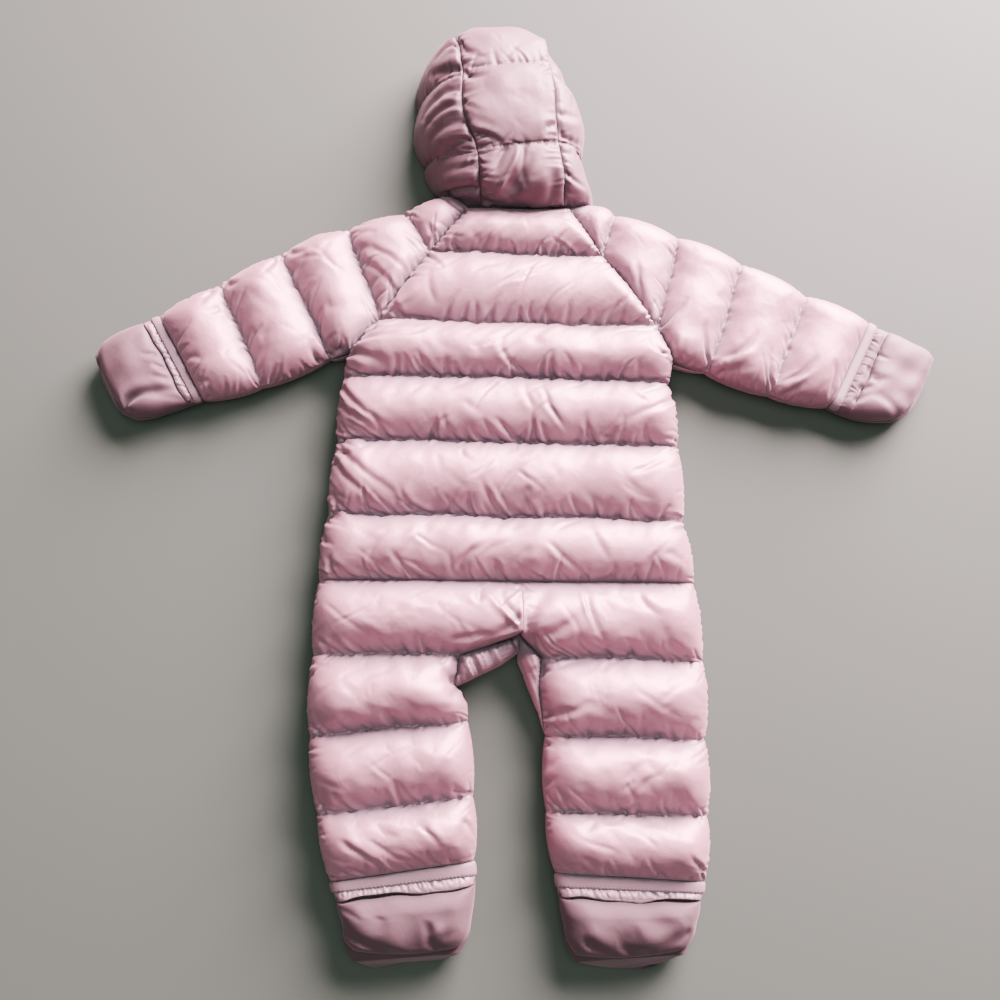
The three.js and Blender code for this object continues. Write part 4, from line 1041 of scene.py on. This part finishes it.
# %% Tables of the pockets
POCKET = "line ax ay bx by reach"
POCKETS = {
    "mitt_left": table(POCKET, [
        (0.0, -307.3, 265.7, -267.3, 193.5, 0), (0.12, -313.0, 263.0, -272.5, 191.5, 0),
        (0.28, -321.0, 259.5, -280.0, 188.5, 0), (0.5, -332.5, 254.5, -294.5, 182.5, 0.5),
        (0.72, -344.5, 247.5, -309.0, 177.5, 1.5), (0.88, -352.5, 240.0, -320.0, 177.0, 2.5),
        (1.0, -356.0, 231.0, -330.0, 181.5, 3.5)]),
    "mitt_right": table(POCKET, [
        (0.0, 319.3, 285.7, 278.3, 205.5, 0), (0.12, 325.5, 282.5, 284.0, 203.0, 0),
        (0.28, 334.0, 279.0, 292.5, 199.5, 0), (0.5, 347.5, 274.0, 306.5, 195.5, 0.5),
        (0.72, 360.5, 267.5, 323.5, 194.5, 1.5), (0.88, 372.5, 262.0, 336.5, 196.5, 2.5),
        (1.0, 379.0, 255.5, 347.5, 203.0, 3.5)]),
    "bootie_left": table(POCKET, [
        (0.0, -144.0, -192.9, -33.5, -177.9, 0), (0.14, -141.5, -201.0, -32.5, -189.0, 0),
        (0.24, -139.5, -206.5, -32.0, -196.0, 0), (0.34, -138.0, -213.0, -32.5, -204.0, 0),
        (0.6, -134.0, -224.5, -34.5, -218.5, 2), (0.84, -131.5, -236.0, -37.5, -232.5, 6),
        (1.0, -125.0, -243.0, -44.0, -241.0, 9)]),
    "bootie_right": table(POCKET, [
        (0.0, 31.0, -186.9, 149.5, -193.9, 0), (0.14, 32.5, -198.0, 148.0, -203.0, 0),
        (0.24, 33.5, -205.0, 146.5, -208.5, 0), (0.34, 34.5, -212.5, 145.5, -214.5, 0),
        (0.6, 37.5, -226.0, 142.5, -224.5, 2), (0.84, 40.5, -239.0, 139.5, -235.0, 6),
        (1.0, 47.0, -248.0, 133.5, -244.0, 9)])}
BOW, BOW_START = 4.0, 0.5
BEFORE_MOUTH, AFTER_MOUTH, POCKET_SIDE_BAND = 0.06, 0.09, 14.0
TIP_START, TIP_LONG, TIP_POWER = 0.42, 0.58, 2.4
POUCH_WAVE, POUCH_WAVE_SIZE = 1.6, 34
MOUTH_DRAWN, MOUTH_CORNER, MOUTH_TO_BODY, LIP_WIDTH = 0.02, 0.1, 0.2, 0.012
UNDER_TIP_START, UNDER_TIP_LONG, UNDER_TIP_LIFT = 0.8, 0.2, 0.55
BINDING_END = {"mitt": 0.15, "bootie": 0.135}
MOUTH = {"mitt_left": 0.275, "mitt_right": 0.34, "bootie_left": 0.265, "bootie_right": 0.265}
CROWN = {"mitt": 32.0, "bootie": 37.0}
LIP_STEP = {"mitt": 1.6, "bootie": 3.0}
POUCH_LENGTH = 57.0
STRIP_HEIGHT = 25.5
SLIT_DEPTH, SLIT_WIDTH = 9.0, 0.02
RUFFLE = 2.4
# How far the mouth gapes, and how far the lower cloth stands out at the tip, across the pocket.
GAPE = {
    "mitt_left": [0, 0.15, 0.1, 0.15, 0.1, 0], "mitt_right": [0, 0.1, 0.1, 0.1, 0.1, 0],
    "bootie_left": [0, 0.8, 1.0, 0.85, 0.4, 0.12, 0.08, 0.15, 0],
    "bootie_right": [0, 0.45, 0.2, 0.03, 0.0, 0.06, 0.7, 1.0, 0.2]}
STAND_OUT = {
    "mitt_left": [1, 1, 1, 1, 1], "mitt_right": [0.6, 0.8, 1.2, 1.6, 1.2],
    "bootie_left": [0.9, 1.35, 1.1, 0.8, 0.85, 0.95, 0.6],
    "bootie_right": [0.6, 0.85, 1.0, 1.1, 1.25, 0.9, 0.5]}
POUCH_FOLDS = {
    "mitt_left": [
        ((0.72, 1.02), (0.93, 0.22), 5.5, 3.6, 3, 1), ((0.42, 0.27), (0.36, 0.5), 2.2, 2.6, 2, 1),
        ((0.62, 0.27), (0.5, 0.42), 2.6, 2.2, 1, 1), ((0.75, 0.27), (0.62, 0.5), 2.2, 2.6, 1, -1),
        ((0.1, 0.3), (0.3, 0.9), 1.4, 5.0, 3, 1), ((0.97, 0.3), (0.8, 0.62), 2.4, 3.0, 0, 1)],
    "mitt_right": [
        ((0.28, 0.28), (0.34, 0.5), 2.2, 2.0, 2, 1), ((0.45, 0.26), (0.55, 0.45), 2.4, 2.4, 3, 1),
        ((0.6, 0.3), (0.5, 0.62), 3.0, 4.0, 3, 1), ((0.75, 0.24), (0.6, 0.5), 3.0, 2.8, 2, -1),
        ((0.95, 0.95), (0.8, 0.5), 4.2, 4.5, 2, 1), ((0.9, 0.25), (0.75, 0.45), 2.4, 2.4, 1, 1)],
    "bootie_left": [
        ((0.68, 0.55), (0.63, 1.0), 3.8, 3.6, 1, 1), ((0.04, 0.72), (0.45, 0.99), 4.4, 4.6, -2, 1),
        ((0.7, 0.94), (0.95, 0.74), 3.4, 4.2, 3, -1),
        ((0.03, 0.34), (0.16, 0.5), 2.6, 2.8, 1, 1), ((0.3, 0.42), (0.26, 0.7), 1.4, 4.4, 2, -1)],
    "bootie_right": [
        ((0.08, 0.74), (0.38, 0.96), 4.6, 4.6, -2, 1), ((0.56, 0.97), (0.38, 0.8), 3.4, 5.0, 2, 1),
        ((0.95, 0.74), (0.62, 0.96), 4.4, 4.6, 2, -1),
        ((0.55, 0.6), (0.35, 0.75), 1.4, 6.0, 4, 1)]}
CRUMPLE = dict(gap=(1.8, 4.6), length=(4, 9), deep=(0.8, 2.4), wide=(0.6, 1.2))
CRUMPLE_BAND, CRUMPLE_UNDER, CRUMPLE_SWAY = 0.13, 0.015, 22
print("pockets:", len(POCKETS))


# %% Pocket shapes
def spread(values, share):
    """Values evenly spaced across a pocket, read smoothly at any share of its width."""
    places = np.linspace(0, 1, len(values))
    return smooth_at({"line": places, "value": np.array(values, float)}, "value", share)


def pocket_plan(name, cell, rows):
    """A pocket's grid in plan, with its lines, the shares of its width and the way it points."""
    sections = POCKETS[name]
    t = np.linspace(0, 1, rows)
    line = 0.75 * t + 0.25 * np.sin(t * math.pi / 2)
    around_mouth = np.linspace(MOUTH[name] - BEFORE_MOUTH, MOUTH[name] + AFTER_MOUTH, rows // 3)
    line = np.sort(np.append(line, around_mouth))[:, None]
    at = {key: smooth_at(sections, key, line) for key in ("ax", "ay", "bx", "by")}
    at["reach"] = np.interp(line, sections["line"], sections["reach"])
    width = np.hypot(at["bx"] - at["ax"], at["by"] - at["ay"])
    share = dense_shares(float(width.max()), cell, POCKET_SIDE_BAND)[None, :]
    start, end = (np.array([sections["a" + c][i] + sections["b" + c][i] for c in "xy"]) for i in (0, -1))
    outward = (end - start) / np.linalg.norm(end - start)
    bow = np.clip((line - BOW_START) / (1 - BOW_START), 0, 1) * BOW * 4 * share * (1 - share)
    x = at["ax"] + (at["bx"] - at["ax"]) * share + outward[0] * bow
    y = at["ay"] + (at["by"] - at["ay"]) * share + outward[1] * bow
    return x, y, np.broadcast_to(line, x.shape), np.broadcast_to(share, x.shape), width, at, outward


def seed_of(name):
    """A pocket's own seed, the same in every run."""
    return sum(map(ord, name))


def mouth_line(name, share):
    """Where a pocket's mouth lies along it: a little uneven, and drawn back at both sides."""
    mouth = MOUTH[name] + 0.012 * np.sin(share * 9 + seed_of(name)) + 0.006 * np.sin(share * 23 + 1)
    return mouth - (MOUTH_DRAWN * (1 - quarter(share, MOUTH_CORNER))
                    + MOUTH_DRAWN * (1 - quarter(1 - share, MOUTH_CORNER)))


def crumple(name, depth, across, along):
    """Press short creases into a grid of depths, where a pocket is gathered on its elastic."""
    chance = np.random.default_rng(seed_of(name))
    start = BINDING_END[name.split("_")[0]]
    loose = (MOUTH[name] - start) / CRUMPLE_BAND
    where = chance.uniform(1, 4)
    while where < across.max():
        angle = math.radians(chance.normal(0, CRUMPLE_SWAY))
        length, deep, wide = (chance.uniform(*CRUMPLE[key]) for key in ("length", "deep", "wide"))
        press(depth, across, along, (where, (start - CRUMPLE_UNDER) * POUCH_LENGTH, angle, length * loose,
                                     deep, wide, chance.normal(0, 1), chance.choice((-1, 1)), False))
        where += chance.uniform(*CRUMPLE["gap"]) * loose ** 2


def pocket_top(name):
    """The upper cloth of a pocket, the line at each of its points, and its mouth's line."""
    kind = name.split("_")[0]
    x, y, line, share, width, _, _ = pocket_plan(name, 1.0, 84)
    tip = np.clip((line - TIP_START) / TIP_LONG, 0, 1)
    body = BACK_EDGE + (CROWN[kind] - BACK_EDGE) * np.sqrt(1 - tip ** TIP_POWER)
    waves = POUCH_WAVE * slow_waves(x, y, POUCH_WAVE_SIZE, seed_of(name)) * np.clip((line - 0.3) * 4, 0, 1)
    body = body + waves * np.clip((1 - line) * 8, 0, 1)
    mouth = mouth_line(name, share)
    open_ = np.clip(spread(GAPE[name], share), 0, 1)
    lip = np.clip((line - mouth) / LIP_WIDTH + 0.5, 0, 1) * LIP_STEP[kind] * (0.7 + 0.3 * open_)
    top = STRIP_HEIGHT + (body - STRIP_HEIGHT - lip) * quarter(line - mouth, MOUTH_TO_BODY) + lip
    ruffle = np.clip((line - BINDING_END[kind]) / (mouth - BINDING_END[kind]), 0, 1)
    closed = (ruffle > 0.5) * 0.8 * (1 - open_)
    ridge = STRIP_HEIGHT + RUFFLE * np.maximum(np.sin(np.pi * ruffle) ** 0.7, closed)
    top = np.where(line > mouth - 0.006, top, ridge)
    half = SLIT_WIDTH * (0.35 + 0.65 * open_)
    top -= SLIT_DEPTH * open_ ** 0.6 * np.exp(-(np.abs((line - mouth + half) / half) ** 3))

    across, along = share * width, line * POUCH_LENGTH
    depth = np.zeros_like(x)
    crumple(name, depth, across, along)
    for each in folds_between(POUCH_FOLDS[name], across, along, POUCH_LENGTH):
        press(depth, across, along, each)
    depth *= np.clip((line - BINDING_END[kind] + 0.02) * 30, 0, 1)
    top = top - depth
    radius = np.maximum((top - BACK_EDGE) * 1.05 + SEAM_WALL, 0.5)
    drop = (1 - quarter(across, radius)) + (1 - quarter(width - across, radius))
    return np.dstack([x, y, np.maximum(top + (BACK_EDGE - top) * drop, BACK_EDGE)]), line, mouth


def pocket_under(name):
    """The lower cloth of a pocket, which stands out beyond the upper one at the tip."""
    x, y, line, share, width, at, outward = pocket_plan(name, 2.0, 40)
    out = at["reach"] * spread(STAND_OUT[name], share)
    x, y = x + outward[0] * out, y + outward[1] * out
    drop = (1 - quarter(share * width, FRONT_EDGE)) + (1 - quarter((1 - share) * width, FRONT_EDGE))
    end = (1 - np.sqrt(1 - np.clip((line - UNDER_TIP_START) / UNDER_TIP_LONG, 0, 1) ** 2)) * UNDER_TIP_LIFT
    return np.dstack([x, y, np.maximum(FRONT_EDGE * np.clip(drop + end, 0, 1), 0)])


# %% Pouches and their bindings
BINDING_PROFILE = np.array([0.4, 1.2, 1.6, 1.75, 1.8, 1.8, 1.8, 1.75, 1.6, 1.2, 0.4])
MIDDLE_ROW, STITCHED_ROW, UNDER_LIFT = 5, -3, 0.3
STITCH_PITCH, STITCH_PUCKER, LEAST_SHEET_WIDTH = 3.0, 0.35, 10.0
# Where the slit's painted shade lies: its place and reach round the mouth, depth and span across.
SLIT_SHADE_AT, SLIT_SHADE_REACH, SLIT_SHADE_BELOW, SLIT_SHADE_SPAN = 0.03, 0.045, 2.5, 0.97


def add_binding(name, upper, line):
    """A flat woven strip that is a little proud of the pocket's mouth, with rounded edges."""
    kind = name.split("_")[0]
    last = np.searchsorted(line[:, 0], BINDING_END[kind])
    share = np.linspace(0, 1, len(BINDING_PROFILE))
    strip = np.stack([upper[0] * (1 - t) + upper[last] * t for t in share])
    strip[..., 2] = upper[0, :, 2] + (STRIP_HEIGHT - upper[0, :, 2].max()) * share[:, None] * 0.5
    across = np.cumsum(np.linalg.norm(np.diff(strip[0], axis=0, prepend=strip[0, :1]), axis=1))
    pucker = STITCH_PUCKER * np.sin(2 * math.pi * across / STITCH_PITCH)
    pucker = pucker * np.clip(share * 5 - 3.6, 0, 1)[:, None]
    rise = slope(strip)
    over = strip + rise * (BINDING_PROFILE[:, None] + pucker)[..., None]
    under = strip + rise * UNDER_LIFT
    points, faces, _ = shell(over, under, facing(over) < 0)
    binding = add_piece(name + "_elastic", points, faces, [BINDING_CLOTH])
    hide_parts(name + "_binding")
    return over[STITCHED_ROW]


binding_lines = {}
for name in POCKETS:
    upper, line, mouth = pocket_top(name)
    points, faces = closed_panel(upper, BACK_UNDER, True)
    # Painted shade: faces deep in an open slit get the near-black nylon.
    inside = np.abs(line - mouth + SLIT_SHADE_AT) < SLIT_SHADE_REACH
    inside &= upper[..., 2] < STRIP_HEIGHT - SLIT_SHADE_BELOW
    inside &= np.abs(np.linspace(-1, 1, line.shape[1])) < SLIT_SHADE_SPAN
    kinds = np.where(inside, 2, (line < mouth - SLIT_SHADE_AT).astype(int))[:-1, :-1].ravel()
    kinds = np.concatenate([kinds, np.zeros(len(faces) - len(kinds), int)])
    # Painted shade: mitts and booties take the darker copies of the nylon.
    nylon = MITT_NYLON_PAINTED_SHADE if name.startswith("mitt") else BOOTIE_NYLON_PAINTED_SHADE
    # The gathered strip takes the lighter copy, painted light, except on the right mitt.
    cloths = [nylon, MITT_NYLON_PAINTED_SHADE if name == "mitt_right" else GATHERED_NYLON_PAINTED_LIGHT, SLIT_PAINTED_SHADE]
    pocket = add_piece(name + "_pouch", points, faces, cloths, kinds)
    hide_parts(name + "_back")
    points, faces = closed_panel(pocket_under(name), FRONT_OVER, False)
    lower = add_piece(name + "_underside", points, faces, [nylon])
    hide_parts(name + "_front")
    binding_lines[name] = add_binding(name, upper, line)

# %% [markdown]
# ## Thread, and the zip
#
# Stitches are what makes quilting look sewn: short rods that lie in the valley with a gap between
# them. The zip's coil is a row of small loops on each side of the slot, under the suit.


# %% Stitches
def rods(path, pitch, length, radius, lift):
    """Points and faces of small six-sided rods along a path in millimetres."""
    steps = np.linalg.norm(np.diff(path, axis=0), axis=1)
    reach = np.concatenate([[0], np.cumsum(steps)])
    starts = np.arange(pitch / 2, reach[-1] - length, pitch)
    points, faces = [], []
    corner = np.linspace(0, 2 * math.pi, 7)[:-1]
    for start in starts:
        ends = (start, start + length)
        a, b = (np.array([np.interp(s, reach, path[:, i]) for i in range(3)]) for s in ends)
        run = (b - a) / max(np.linalg.norm(b - a), 1e-6)
        side = np.cross(run, (0, 0, 1))
        side /= np.linalg.norm(side)
        up = np.cross(side, run)
        circle = np.outer(np.cos(corner), side) + np.outer(np.sin(corner), up)
        first = len(points)
        for t, size in ((0, 0.35), (0.2, 1), (0.8, 1), (1, 0.35)):
            middle = a + (b - a) * t + up * (lift - (1 - size) * radius * 0.6)
            points += list(middle + radius * size * circle)
        for ring in range(3):
            for k in range(6):
                n = first + ring * 6
                faces.append([n + k, n + (k + 1) % 6, n + 6 + (k + 1) % 6, n + 6 + k])
        faces += [[first + k for k in range(5, -1, -1)], [first + 18 + k for k in range(6)]]
    return points, faces


def sew(name, paths, pitch=3.4, length=2.3, radius=0.3, lift=0.2, material=THREAD):
    """One piece that holds the stitches along several paths."""
    points, faces = [], []
    for path in paths:
        more, their = rods(np.asarray(path), pitch, length, radius, lift)
        faces += [[n + len(points) for n in face] for face in their]
        points += more
    add_piece(name, points, faces, [material])
    print(name, "stitches", len(faces) // 20)


quilting = []
for name, (cloth, line) in finished.items():
    for row in range(1, line.shape[0] - 1):
        if abs(line[row, 0] - round(line[row, 0])) < 1e-6:
            quilting.append(cloth[row, 6:-6])
sew("quilting_thread", quilting)
sew("binding_thread", [path[4:-4] for path in binding_lines.values()], pitch=STITCH_PITCH, length=2.0,
    radius=0.22, lift=0.0)

# %% Zip
COIL_X, COIL_Z = ZIP_HALF_WIDTH - 3.6, 6.2
coil_y = np.linspace(ZIP_BOTTOM + 4, ZIP_TOP - 24, 60)
coils = [[(x, y, COIL_Z) for y in coil_y] for x in (-COIL_X, COIL_X)]
sew("zip_coil", coils, pitch=1.6, length=1.1, radius=0.55, lift=0.0, material=ZIP_COIL)
for node, finish in (("zip_tape", BINDING_CLOTH), ("zip_slider", ZIP_METAL), ("zip_pull", BINDING_CLOTH)):
    for place in bpy.data.objects[node].material_slots:
        place.material = finish
    print(node, "keeps its shape")
